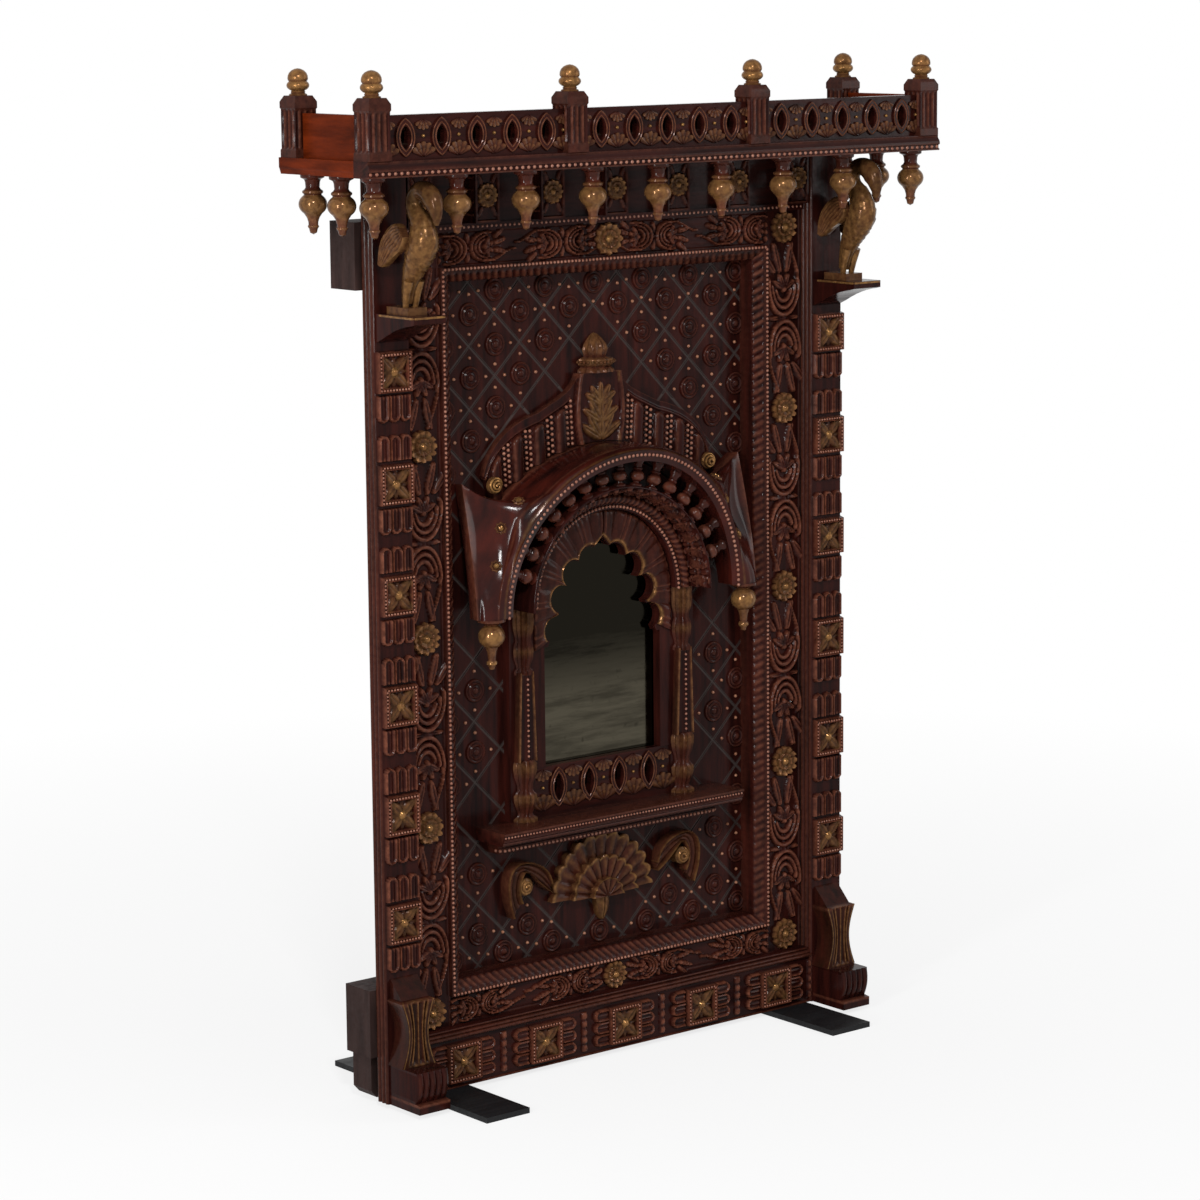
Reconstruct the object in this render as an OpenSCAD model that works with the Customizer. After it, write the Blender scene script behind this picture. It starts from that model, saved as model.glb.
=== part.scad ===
// Carved jharokha window frame: a mirror niche under a drooping hood in a carved frame,
// with a small balcony on top, standing on two flat steel bars.
// X runs to the right, Y to the back and Z up from the floor. All sizes are in millimetres.

/* [Foot bars] */
// Length of each steel bar, front to back
bar_len = 363; // [330:1:420]
// Width of each steel bar
bar_w = 75; // [50:1:80]
// Thickness of each steel bar
bar_thk = 8; // [5:0.5:12]
// Middle of each bar, from the middle of the frame
bar_x = 324.5; // [305:0.5:340]
// Reach of the bars in front of the boss faces
bar_front = 128; // [110:1:150]

/* [Frame front] */
// Width of the field between the outer edges of the rope moulding
field_w = 601; // [580:1:640]
// Lattice left bare between the dome finial and the top of the field
field_head = 111; // [100:1:160]
// Width of the carved bands at the sides
side_band_w = 68; // [60:1:80]
// Height of the carved band at the top
top_band_h = 49; // [46:1:60]
// Height of the carved band at the bottom
bottom_band_h = 42; // [40:1:56]
// Height of the carved bottom rail
rail_h = 73; // [68:1:90]
// Height of the reeded ledge over the bottom rail
ledge_h = 12; // [8:1:20]
// Height of the frieze under the balcony
frieze_h = 86; // [76:1:100]
// Width of each pilaster
pilaster_w = 62; // [58:1:72]

/* [Frame depths] */
// Height of the square bosses and tongues over the face of a pilaster
boss_h = 10; // [6:0.5:14]
// From the boss faces back to the ground of the carved bands
band_set = 36; // [32:1:44]
// Thickness of the carved band boards
band_thk = 14; // [10:1:18]
// Height of the carved leaves over the ground of the bands
leaf_h = 7; // [4:0.5:8]
// From the boss faces back to the lattice panel
panel_set = 69; // [66:1:80]
// Thickness of the lattice panel
panel_thk = 16; // [12:1:22]
// Wood of the beams left behind the lattice panel
rebate_lip = 8; // [5:1:15]

/* [Back frame] */
// Height of the sill beam
sill_h = 97; // [90:1:110]
// Height of the heel blocks under the sill beam
heel_h = 63; // [50:1:75]
// Height of the lintel beam
lintel_h = 92; // [80:1:110]
// Reach of the lintel beam below the top of the field
lintel_drop = 23; // [15:1:30]
// Reach of the beam ends past the pilasters
horn_out = 9; // [4:1:20]
// Width of each back stile behind the carved bands
stile_w = 80; // [74:1:92]
// Wood of the stiles behind the edge of the lattice panel
stile_lip = 10; // [5:1:15]

/* [Bosses and rosettes] */
// Side of a square boss
boss_w = 60; // [48:1:62]
// Gap between a foot console and the lowest tongues of a pilaster
boss_foot = 9.3; // [6:0.1:24]
// Gap between the top boss of a pilaster and the bird corbel
boss_head = 10.7; // [6:0.1:30]
// Distance between the bosses of the bottom rail
rail_boss_pitch = 148; // [130:1:155]
// Length of a carved tongue
tongue_len = 36; // [28:1:38]
// Diameter of a rosette
rosette_d = 46; // [38:1:48]
// Distance between the ring bosses of the lattice, across
lattice_w = 89.5; // [80:0.5:110]
// Distance between the ring bosses of the lattice, upwards
lattice_h = 89; // [80:1:110]
// Diameter of a ring boss of the lattice
ring_d = 34; // [24:1:40]
// Width of a groove of the lattice
groove_w = 3; // [2:0.5:5]

/* [Window] */
// Half width of the mirror opening
mirror_half = 108; // [100:1:112]
// Height of the sill of the mirror opening over the window shelf
mirror_rise = 73; // [68:1:81]
// Thickness of the mirror glass
glass_thk = 4; // [3:0.5:6]
// Depth of the pocket for the glass in the lattice panel
pocket_d = 6; // [5:0.5:8]
// Thickness of the window board over the lattice panel
window_thk = 15; // [12:1:18]
// Half width of the window board
window_half = 172; // [170:1:180]
// Height of the arch centre over the window shelf
arch_rise = 310; // [306:1:326]
// Outer radius of the carved arch ring
ring_r = 166; // [162:1:168]
// Width of the carved arch ring
ring_w = 38; // [34:1:40]
// Depth of the carved arch ring at its splayed outer edge
ring_thk = 52; // [44:1:56]
// Depth of the carved arch ring at its inner edge
ring_lip = 14; // [10:1:18]
// Distance of the colonnettes from the middle
column_x = 148; // [146:1:150]
// Number of turned spindles under the hood
spindle_count = 15; // [11:1:17]
// Length of a spindle
spindle_len = 38; // [34:1:40]
// Largest radius of a spindle
spindle_r = 11; // [8:0.5:12]

/* [Hood and dome] */
// Radius of the front rim of the hood
hood_r = 220; // [216:1:226]
// Reach of the hood in front of the panel at its middle
hood_reach = 99; // [90:1:110]
// Reach of the hood in front of the panel at its ends
hood_end_reach = 73; // [66:1:80]
// Length of a hood pendant
pendant_len = 73; // [60:1:85]
// Radius of a hood pendant at its bulb
pendant_r = 19; // [15:0.5:20]
// Height of the dome plate over the lattice panel
dome_thk = 19; // [14:1:22]
// Height of the dome ribs over the dome plate
rib_h = 8; // [4:0.5:10]
// Height of the top of the hood over the arch centre
hood_rise = 225; // [218:1:232]
// Height of the dome's shoulders over the top of the hood
dome_h = 101; // [91:1:111]
// Height of the dome finial
dome_finial_h = 56; // [46:1:66]

/* [Shelf and shell] */
// Width of the window shelf
shelf_w = 450; // [440:1:480]
// Thickness of the window shelf
shelf_thk = 19; // [15:1:24]
// Reach of the window shelf in front of the panel
shelf_reach = 69; // [60:1:80]
// Height of the dentil strip under the shelf
dentil_h = 20; // [14:1:22]
// Radius of the shell
shell_r = 96; // [86:1:97]
// Height of the shell's root over the bottom of the field
shell_foot = 94; // [88:1:110]

/* [Balcony] */
// Distance of the corner posts from the middle
post_x = 496; // [480:1:510]
// Distance of the inner posts from the middle
inner_post_x = 165.3; // [150:0.5:180]
// Reach of the front posts in front of the boss faces
post_out = 89; // [80:1:100]
// Distance between the front and back posts
post_span = 168; // [150:1:176]
// Side of a post
post_w = 36; // [30:1:40]
// Height of a post over the base moulding
post_h = 82; // [76:1:95]
// Height of the base moulding
base_h = 22; // [18:1:28]
// Step of the base moulding past the posts
base_step = 2; // [1:0.5:4]
// Height of the railing panels
panel_h = 59; // [54:1:66]
// Thickness of the railing panels
rail_thk = 12; // [8:1:14]
// Thickness of the balcony floor
deck_thk = 12; // [10:1:16]
// Height of a finial
finial_h = 36; // [30:1:44]
// Length of a drop under the balcony
drop_len = 81; // [60:1:84]
// Radius of a drop at its bulb
drop_r = 19.5; // [15:0.5:20]
// Distance between the drops along the front
drop_pitch = 117; // [108:1:120]
// Width of a frieze block
frieze_block_w = 42; // [34:1:46]
// Distance between the frieze blocks
frieze_pitch = 115; // [100:1:116]

/* [Brackets] */
// Width of the foot blocks and bird corbels
bracket_w = 53; // [46:1:58]
// Reach of a foot block in front of the boss faces
foot_reach = 59; // [50:1:66]
// Height of a foot block
foot_h = 58; // [50:1:64]
// Height of the console on a foot block
console_h = 94; // [84:1:100]
// Reach of the console in front of the boss faces
console_reach = 24; // [18:1:30]
// Reach of a bird corbel in front of the boss faces
corbel_reach = 78; // [70:1:84]
// Height of a bird corbel
corbel_h = 40; // [32:1:44]
// Height of a bird
bird_h = 182; // [170:1:186]

/* [Hidden] */
// Smoothness of the turned and round shapes
$fn = 48;
// Overlap of the pieces of one solid
bond = 1;
wood = "#3c1812";
dark_wood = "#2a120f";
orange_wood = "#8a3d17";
gold = "#b08a4a";
steel = "#17171a";
silver = "#79827a";

// Depths, from the front to the back
y_face = bar_front - bar_len / 2;
y_ground = y_face + boss_h;
y_band = y_face + band_set;
y_band_back = y_band + band_thk;
y_panel = y_face + panel_set;
y_panel_back = y_panel + panel_thk;
y_back = y_panel_back + rebate_lip;
y_bead = y_band - 8;
y_window = y_panel - window_thk;
y_dome = y_panel - dome_thk;
y_post = y_face - post_out;
y_post_back = y_post + post_span;
y_base = y_post - post_w / 2 - base_step;
y_base_back = y_post_back + post_w / 2 + base_step;

// Heights over the floor
z_wood = bar_thk;
z_rail = z_wood + rail_h;
z_ledge = z_rail + ledge_h;
z_field = z_ledge + bottom_band_h;
shell_z = z_field + shell_foot;
shelf_z = shell_z + shell_r + dentil_h + shelf_thk;
mirror_z = shelf_z + mirror_rise;
arch_z = shelf_z + arch_rise;
dome_base_z = arch_z + hood_rise;
dome_top = dome_base_z + dome_h;
z_field_top = dome_top + dome_finial_h + field_head;
field_h = z_field_top - z_field;
z_band_top = z_field_top + top_band_h;
z_deck = z_band_top + frieze_h;
z_base = z_deck + base_h;
z_post = z_base + post_h;
z_sill = z_wood + heel_h;
z_lintel = z_field_top - lintel_drop;
z_foot = z_wood + foot_h;
z_bird = z_deck - bird_h - 6;
console_cap = 28;
boss_gap = 2;
boss_count = 6;
boss_z = z_foot + console_h + console_cap + boss_foot + tongue_len + boss_gap + boss_w / 2;
boss_pitch = (z_bird - corbel_h - boss_head - boss_w / 2 - boss_z) / (boss_count - 1);

// Distances from the middle
x_field = field_w / 2;
x_band = x_field + side_band_w;
x_pilaster = x_band + pilaster_w / 2;
x_out = x_band + pilaster_w;
x_horn = x_out + horn_out;
x_base = post_x + post_w / 2 + base_step;

// Shapes that depend on the sizes above
reed_r = (band_set - boss_h) / 6;
reed_d = 2.5;
rope_w = 22;
rope_slope = 15.5;
bead_w = 6;
soffit_r = ring_r + spindle_len;
board_r = soffit_r - 1;
sill_half = column_x - 20.5;
arch_top = 88;
pocket_margin = 9;
pocket_half = mirror_half + pocket_margin;
pocket_z = shelf_z + 10;
pocket_h = arch_z + arch_top + pocket_margin - pocket_z;
glass_gap = 0.5;
seam = 0.1;
pendant_x = hood_r + 15;
pendant_y = y_panel - hood_end_reach + 16;
dome_r = 291;
dome_half = 196;
groove_d = 1.5;
lens_w = 17;
lens_h = 40;

// Points along an arc
function arc(cx, cy, r, a0, a1, n = 12) =
    [for (i = [0:n]) let (a = a0 + (a1 - a0) * i / n) [cx + r * cos(a), cy + r * sin(a)]];

// Points along a curve with one control point
function bend(a, c, b, n = 8) =
    [for (i = [0:n]) let (t = i / n) a * (1 - t) * (1 - t) + c * 2 * t * (1 - t) + b * t * t];

function flip_x(points) = [for (i = [len(points) - 1:-1:0]) [-points[i][0], points[i][1]]];

// A box between two corners
module block(x0, x1, y0, y1, z0, z1) {
    translate([x0, y0, z0])
        cube([x1 - x0, y1 - y0, z1 - z0]);
}

// A drawing in X and Z, carried forward from depth y by h
module relief(y, h) {
    translate([0, y, 0])
        rotate([90, 0, 0])
            linear_extrude(h)
                children();
}

// A profile in Y and Z, carried along X
module run_x(x0, x1) {
    translate([x0, 0, 0])
        rotate([90, 0, 90])
            linear_extrude(x1 - x0)
                children();
}

// The left side is the right side seen in a mirror
module on_side(side) {
    if (side < 0)
        mirror([1, 0, 0])
            children();
    else
        children();
}

// A pointed oval
module lens(w, h) {
    r = (w * w + h * h) / (4 * w);
    intersection() {
        translate([r - w / 2, 0])
            circle(r);
        translate([w / 2 - r, 0])
            circle(r);
    }
}

// A tongue that hangs from the origin with a round end
module tongue(w, len) {
    translate([-w / 2, w / 2 - len])
        square([w, len - w / 2]);
    translate([0, w / 2 - len])
        circle(w / 2);
}

// Three tongues side by side
module tongues(len) {
    w = boss_w / 3;
    for (i = [-1:1])
        translate([i * w, 0])
            tongue(w - 1.5, len);
}

// A square boss with a sunk flower, in front of depth y
module square_boss(y, w, h) {
    border = w * 0.14;
    petal = w * 0.3;
    relief(y + bond, h + bond)
        difference() {
            square(w, center = true);
            square(w - 2 * border, center = true);
        }
    relief(y + bond, h / 2 + bond)
        for (a = [45:90:315])
            rotate(a)
                translate([petal * 0.62, 0])
                    rotate(-90)
                        lens(petal * 0.7, petal * 1.05);
    translate([0, y, 0])
        rotate([90, 0, 0])
            cylinder(h = h, r1 = w * 0.12, r2 = w * 0.06);
}

// A flower with round petals and a raised eye, in front of depth y
module rosette(y, d, h) {
    petals = 8;
    petal_r = d * 0.15;
    relief(y + bond, h * 0.6 + bond) {
        circle(d * 0.36);
        for (i = [0:petals - 1])
            rotate(i * 360 / petals)
                translate([d / 2 - petal_r, 0])
                    circle(petal_r);
    }
    translate([0, y, 0])
        rotate([90, 0, 0])
            cylinder(h = h, r1 = d * 0.16, r2 = d * 0.1);
}

// A curled leaf: a crescent with a bud in its hollow
module leaf(r) {
    difference() {
        circle(r);
        translate([r * 0.34, r * 0.1])
            circle(r * 0.78);
    }
    translate([r * 0.42, r * 0.05])
        circle(r * 0.26);
}

// Two leaves that turn against each other along a band
module leaf_pair(step, r) {
    translate([0, step])
        rotate(40)
            leaf(r);
    translate([0, -step])
        rotate(220)
            leaf(r);
}

module foot_bar(side) {
    color(steel)
        block(side * bar_x - bar_w / 2, side * bar_x + bar_w / 2,
            -bar_len / 2, bar_len / 2, 0, bar_thk);
}

module heel_block(side) {
    cut = 10;
    color(dark_wood)
        on_side(side)
            translate([0, y_back, 0])
                rotate([90, 0, 0])
                    linear_extrude(y_back - y_band_back)
                        polygon([[x_field, z_wood], [x_out - cut, z_wood],
                            [x_out - 1, z_wood + cut], [x_out - 1, z_sill], [x_field, z_sill]]);
}

// A beam with ends that show past the pilasters, cut back behind the carved bands
module beam(z0, z1, panel_z0, panel_z1) {
    difference() {
        block(-x_horn, x_horn, y_band, y_back, z0, z1);
        block(-x_band, x_band, y_band - bond, y_band_back, z0 - bond, z1 + bond);
        block(-x_field, x_field, y_band - bond, y_panel_back, panel_z0, panel_z1);
    }
}

module sill_beam() {
    color(dark_wood)
        beam(z_sill, z_sill + sill_h, z_field, z_sill + sill_h + bond);
}

module lintel_beam() {
    color(dark_wood)
        beam(z_lintel, z_lintel + lintel_h, z_lintel - bond, z_field_top);
}

module back_stile(side) {
    lip_out = pilaster_w * 0.7;
    color(dark_wood)
        on_side(side)
            translate([0, 0, z_sill + sill_h])
                linear_extrude(z_lintel - z_sill - sill_h)
                    polygon([[x_field, y_band_back], [x_band, y_band_back], [x_band, y_band],
                        [x_band + lip_out, y_band], [x_band + lip_out, y_band_back],
                        [x_field + stile_w, y_band_back], [x_field + stile_w, y_back],
                        [x_field - stile_lip, y_back], [x_field - stile_lip, y_panel_back],
                        [x_field, y_panel_back]]);
}

module bottom_rail() {
    y_rail = y_ground + 5;
    w = rail_h - 16;
    color(wood)
        union() {
            block(-x_band, x_band, y_rail, y_band_back, z_wood, z_rail);
            for (i = [-2:2])
                translate([i * rail_boss_pitch, 0, z_wood + rail_h / 2]) {
                    square_boss(y_rail, w, boss_h);
                    relief(y_rail + bond, boss_h * 0.7 + bond)
                        for (s = [-1, 1])
                            rotate(s * 90)
                                translate([0, -w / 2 - 2])
                                    tongues((rail_boss_pitch - w) / 2 - 8);
                }
        }
}

module ledge_moulding() {
    y_front = y_face + 8;
    step = ledge_h / 3;
    color(wood)
        run_x(-x_band, x_band)
            polygon([[y_band_back, z_rail], [y_front, z_rail], [y_front, z_rail + step],
                [y_front + step, z_rail + step], [y_front + step, z_rail + 2 * step],
                [y_front + 3 * step, z_rail + 2 * step], [y_front + 3 * step, z_ledge],
                [y_band_back, z_ledge]]);
}

module pilaster(side) {
    color(wood)
        on_side(side)
            union() {
                block(x_band + reed_d, x_out - reed_d, y_ground, y_band, z_wood, z_deck);
                for (i = [0:2], x = [x_band + reed_r, x_out - reed_r])
                    translate([x, y_ground + (2 * i + 1) * reed_r, z_wood])
                        cylinder(h = z_deck - z_wood, r = reed_r - seam);
                for (i = [0:boss_count - 1])
                    translate([x_pilaster, 0, boss_z + i * boss_pitch]) {
                        square_boss(y_ground, boss_w, boss_h);
                        relief(y_ground + bond, boss_h * 0.7 + bond) {
                            translate([0, -boss_w / 2 - boss_gap])
                                tongues(tongue_len);
                            if (i < boss_count - 1)
                                translate([0, boss_w / 2 + boss_gap])
                                    rotate(180)
                                        tongues(tongue_len);
                        }
                    }
            }
}

module foot_block(side) {
    y_front = y_face - foot_reach;
    plinth = 14;
    lean = 9;
    flutes = 4;
    color(wood)
        on_side(side)
            difference() {
                run_x(x_pilaster - bracket_w / 2, x_pilaster + bracket_w / 2)
                    polygon(concat([[y_ground, z_wood], [y_front, z_wood], [y_front, z_wood + plinth]],
                        bend([y_front + lean, z_wood + plinth], [y_front - lean / 2, z_foot - 14],
                            [y_front + 4, z_foot]), [[y_ground, z_foot]]));
                for (i = [0:flutes])
                    translate([x_pilaster + (i / flutes - 0.5) * bracket_w, y_front - 1, z_wood + plinth])
                        cylinder(h = foot_h, r = 4.2);
            }
}

module foot_console(side) {
    w = pilaster_w - 4;
    waist = 12;
    r = (console_h * console_h / 4 + waist * waist) / (2 * waist);
    flutes = 3;
    y_front = y_face - console_reach;
    color(gold)
        on_side(side)
            translate([x_pilaster, 0, z_foot])
                difference() {
                    union() {
                        relief(y_ground, y_ground - y_front)
                            difference() {
                                translate([-w / 2, 0])
                                    square([w, console_h]);
                                for (s = [-1, 1])
                                    translate([s * (w / 2 + r - waist), console_h / 2])
                                        circle(r);
                            }
                        run_x(-w / 2 + 6, w / 2 - 6)
                            polygon([[y_ground, console_h - bond], [y_front + 6, console_h - bond],
                                [y_ground, console_h + console_cap]]);
                    }
                    for (i = [1:flutes])
                        translate([(i - (flutes + 1) / 2) * 9, y_front - 2, -bond])
                            cylinder(h = console_h + 2 * bond, r = 4);
                }
}

module floral_band_side(side) {
    mid = x_field + side_band_w / 2;
    rosettes = 4;
    d = min(rosette_d, side_band_w - 8);
    z0 = z_ledge + max(bottom_band_h, d + 2) / 2;
    pitch = (z_band_top - max(top_band_h, d + 2) / 2 - z0) / rosettes;
    color(wood)
        on_side(side)
            union() {
                block(x_field, x_band, y_band, y_band_back, z_ledge, z_band_top);
                for (i = [0:rosettes])
                    translate([mid, 0, z0 + i * pitch])
                        rosette(y_band, d, leaf_h + 2);
                for (i = [0:rosettes - 1])
                    translate([mid, 0, z0 + (i + 0.5) * pitch])
                        relief(y_band + bond, leaf_h + bond)
                            for (s = [-1, 1])
                                translate([0, s * pitch * 0.19])
                                    leaf_pair(pitch * 0.085, side_band_w * 0.31);
            }
}

module floral_band_across(z0, z1) {
    mid = (z0 + z1) / 2;
    pitch = x_field;
    color(wood)
        union() {
            block(-x_field, x_field, y_band, y_band_back, z0, z1);
            translate([0, 0, mid])
                rosette(y_band, min(rosette_d, z1 - z0 - 2), leaf_h + 2);
            for (s = [-1, 1], i = [0:1])
                translate([s * (pitch * 0.28 + i * pitch * 0.4), 0, mid])
                    relief(y_band + bond, leaf_h + bond)
                        rotate(90)
                            leaf_pair(pitch * 0.09, (z1 - z0) * 0.46);
        }
}

// One length of the moulding round the lattice, its ends cut to meet the next at a mitre
module rope_moulding(half, far) {
    y_slope = y_bead + rope_slope;
    strip = [[far, y_bead], [far - bead_w, y_bead], [far - bead_w - rope_slope, y_slope],
        [far - bead_w - rope_slope, y_panel], [far, y_panel]];
    intersection() {
        translate([0, 0, -half])
            linear_extrude(2 * half)
                polygon(strip);
        translate([0, y_panel, 0])
            rotate([90, 0, 0])
                linear_extrude(y_panel - y_bead)
                    polygon([[far, -half], [far, half], [far - rope_w, half - rope_w],
                        [far - rope_w, rope_w - half]]);
    }
}

module rope_moulding_side(side) {
    color(wood)
        on_side(side)
            translate([0, 0, z_field + field_h / 2])
                rope_moulding(field_h / 2, x_field);
}

module rope_moulding_across(turn) {
    color(wood)
        translate([0, 0, z_field + field_h / 2])
            rotate([0, turn, 0])
                rope_moulding(x_field, field_h / 2);
}

// Half outline of the dome from its foot to its neck
function dome_side() = concat(
    bend([dome_half + 14, dome_base_z - 36], [dome_half + 2, dome_top - 70], [110, dome_top - 50]),
    bend([84, dome_top - 38], [44, dome_top - 22], [38, dome_top], 5));

module dome_outline() {
    side = dome_side();
    lift = 1.5;
    spread = asin(dome_half / (dome_r + lift));
    foot = arc(0, dome_base_z - dome_r, dome_r + lift, 90 + spread, 90 - spread, 24);
    polygon(concat(side, flip_x(side), foot));
}

// The opening for the mirror: straight sides and a pointed arch of round cusps
module mirror_opening() {
    z_spring = arch_z - 62;
    foils = 4;
    foil_r = 20;
    rise = arch_z + arch_top - z_spring;
    translate([-mirror_half, mirror_z])
        square([2 * mirror_half, z_spring - mirror_z]);
    polygon([[-mirror_half + 6, z_spring - 1], [mirror_half - 6, z_spring - 1],
        [mirror_half * 0.6, z_spring + rise * 0.55], [0, arch_z + arch_top],
        [-mirror_half * 0.6, z_spring + rise * 0.55]]);
    for (i = [0:foils - 1], s = [-1, 1]) {
        t = (i + 0.5) / foils;
        translate([s * (mirror_half - foil_r) * cos(90 * t * 0.95), z_spring + rise * 0.8 * sin(90 * t)])
            circle(foil_r);
    }
}

// What stands on the lattice panel: no ring boss is carved behind it
function is_clear(x, z) =
    let (margin = ring_d / 2 + 6, half = abs(x), z_flank = dome_base_z - 39)
    !(half < window_half + margin && z > shelf_z && z < arch_z)
    && !(half < shelf_w / 2 + margin && z > shelf_z - shelf_thk - dentil_h - margin && z < shelf_z + margin)
    && !(half < hood_r + 36 + margin && z > arch_z - pendant_len && z < z_flank)
    && !(half < dome_half + 14 + margin && z >= z_flank && z < dome_base_z)
    && !(half < (dome_top - z) * 1.55 + 54 && half < 215 && z >= dome_base_z && z < dome_top + 20)
    && !(half < 30 + margin && z >= dome_top && z < dome_top + dome_finial_h + margin)
    && !(half < shell_r && z > shell_z - 24 && z < shelf_z)
    && !(half < shell_r + 95 && z > shell_z && z < shelf_z);

module lattice_lines(turn, count) {
    for (i = [-count:count])
        translate([i * lattice_w, z_field + field_h / 2])
            rotate(turn * atan2(lattice_h, lattice_w))
                square([3 * field_h, groove_w], center = true);
}

// One board of the lattice panel, with the grooves and ring bosses that fall on it
module lattice_board(x0, x1, z0, z1) {
    edge = bead_w + rope_slope;
    rows = floor(field_h / lattice_h);
    columns = ceil(field_w / lattice_w / 2);
    lines = ceil((field_w / lattice_w + field_h / lattice_h) / 2);
    z_mid = z_field + field_h / 2;
    reach = field_h / 2 - edge - ring_d / 2;
    ring_h = 2;
    eye_h = 3.6;
    union() {
        difference() {
            block(x0, x1, y_panel, y_panel_back, z0, z1);
            relief(y_panel + groove_d, groove_d + bond)
                difference() {
                    intersection() {
                        translate([-x_field + edge, z_field + edge])
                            square([field_w - 2 * edge, field_h - 2 * edge]);
                        union() {
                            lattice_lines(1, lines);
                            lattice_lines(-1, lines);
                        }
                    }
                    translate([0, 12])
                        dome_outline();
                    translate([-window_half, shelf_z])
                        square([2 * window_half, dome_base_z - shelf_z]);
                }
        }
        intersection() {
            block(max(x0, -x_field + edge), min(x1, x_field - edge), y_panel - ring_d, y_panel_back,
                max(z0, z_field + edge), min(z1, z_field_top - edge));
            for (i = [-rows:rows], j = [-columns:columns]) {
                x = (j + (abs(i + 1) % 2) / 2) * lattice_w;
                z = z_mid + max(-reach, min(reach, i * lattice_h / 2));
                if (x > x0 && x < x1 && z > z0 && z < z1 && abs(x) < x_field - edge && is_clear(x, z))
                    translate([x, y_panel + bond, z])
                        rotate([90, 0, 0]) {
                            cylinder(h = ring_h + bond, d1 = ring_d, d2 = ring_d - 2);
                            cylinder(h = eye_h + bond, d1 = ring_d * 0.3, d2 = ring_d * 0.2);
                        }
            }
        }
    }
}

// The panel is made of boards round the pocket for the mirror, with a fine seam between them
module lattice_panel() {
    far = pocket_half - seam;
    near = pocket_half + seam;
    pocket_top = pocket_z + pocket_h;
    color(wood) {
        lattice_board(-x_field, -near, z_field, z_field_top);
        lattice_board(near, x_field, z_field, z_field_top);
        lattice_board(-far, far, z_field, pocket_z - seam);
        lattice_board(-far, far, pocket_top + seam, z_field_top);
        block(-far, far, y_panel + pocket_d, y_panel_back, pocket_z + seam, pocket_top - seam);
    }
}

module mirror_glass() {
    color(silver)
        relief(y_panel + pocket_d, glass_thk)
            translate([glass_gap - pocket_half, pocket_z + glass_gap])
                square([2 * (pocket_half - glass_gap), pocket_h - 2 * glass_gap]);
}

module window_board() {
    color(wood)
        relief(y_panel, window_thk)
            difference() {
                union() {
                    translate([-window_half, shelf_z])
                        square([2 * window_half, arch_z - shelf_z]);
                    intersection() {
                        translate([0, arch_z])
                            circle(board_r);
                        translate([-board_r, arch_z])
                            square([2 * board_r, board_r]);
                    }
                }
                mirror_opening();
                translate([-sill_half, shelf_z - bond])
                    square([2 * sill_half, mirror_z - shelf_z + bond]);
            }
}

// Splayed ring of the arch, with a bead and a rope round on its face
module arch_ring() {
    rope_r = ring_w / 6;
    bead_r = rope_r / 2;
    r_in = ring_r - ring_w;
    step = ring_w / 3;
    color(wood)
        translate([0, y_window, arch_z])
            intersection() {
                rotate([90, 0, 0])
                    rotate_extrude() {
                        polygon([[r_in, 0], [ring_r, 0], [ring_r, ring_thk], [ring_r - 4, ring_thk],
                            [r_in + 2 * step, ring_lip], [r_in, ring_lip]]);
                        translate([r_in + bead_r + 1, ring_lip])
                            circle(bead_r);
                        translate([r_in + 1.4 * step, ring_lip])
                            circle(rope_r);
                    }
                block(-ring_r - bond, ring_r + bond, -2 * ring_thk, 0, 0, ring_r + bond);
            }
}

module colonnette(side) {
    depth = 21;
    w = 30;
    foot_w = 39;
    neck_w = 24;
    h = arch_z - shelf_z;
    // Turned foot and capital, as radius and height over the shelf
    foot = [[0, 0], [foot_w / 2, 0], [foot_w / 2, 4], [w * 0.42, 10], [foot_w * 0.48, 34], [foot_w * 0.48, 40],
        [w * 0.4, 46], [foot_w * 0.44, 62], [foot_w * 0.5, 80], [foot_w * 0.46, 92], [0, 92]];
    head = [[0, h - 96], [w * 0.5, h - 96], [w * 0.5, h - 90], [w * 0.38, h - 86],
        [w * 0.54, h - 66], [w * 0.54, h - 52], [w * 0.42, h - 46], [w * 0.58, h - 24], [w * 0.58, h], [0, h]];
    color(wood)
        on_side(side)
            intersection() {
                translate([column_x, y_window, shelf_z])
                    union() {
                        rotate_extrude()
                            polygon(foot);
                        rotate_extrude()
                            polygon(head);
                        relief(w / 2, w / 2 + depth - 3)
                            polygon([[-foot_w / 2, 90], [foot_w / 2, 90], [neck_w / 2, h - 94], [-neck_w / 2, h - 94]]);
                    }
                block(0, x_field, y_window - depth, y_window, shelf_z, arch_z);
            }
}

// Pierced panel under the mirror, let in between the sides of the window board
module window_sill_rail() {
    thk = window_thk - 2;
    h = mirror_z - shelf_z;
    pitch = 56.5;
    color(wood)
        union() {
            relief(y_panel, thk)
                difference() {
                    translate([-sill_half, shelf_z])
                        square([2 * sill_half, h]);
                    for (i = [-1.5:1.5])
                        translate([i * pitch, shelf_z + h * 0.56])
                            lens(lens_w, lens_h);
                }
            relief(y_panel - thk + bond, 3 + bond)
                for (i = [-1.5:1.5])
                    translate([i * pitch, shelf_z + h * 0.56])
                        difference() {
                            lens(lens_w + 12, lens_h + 14);
                            lens(lens_w, lens_h);
                        }
        }
}

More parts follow.
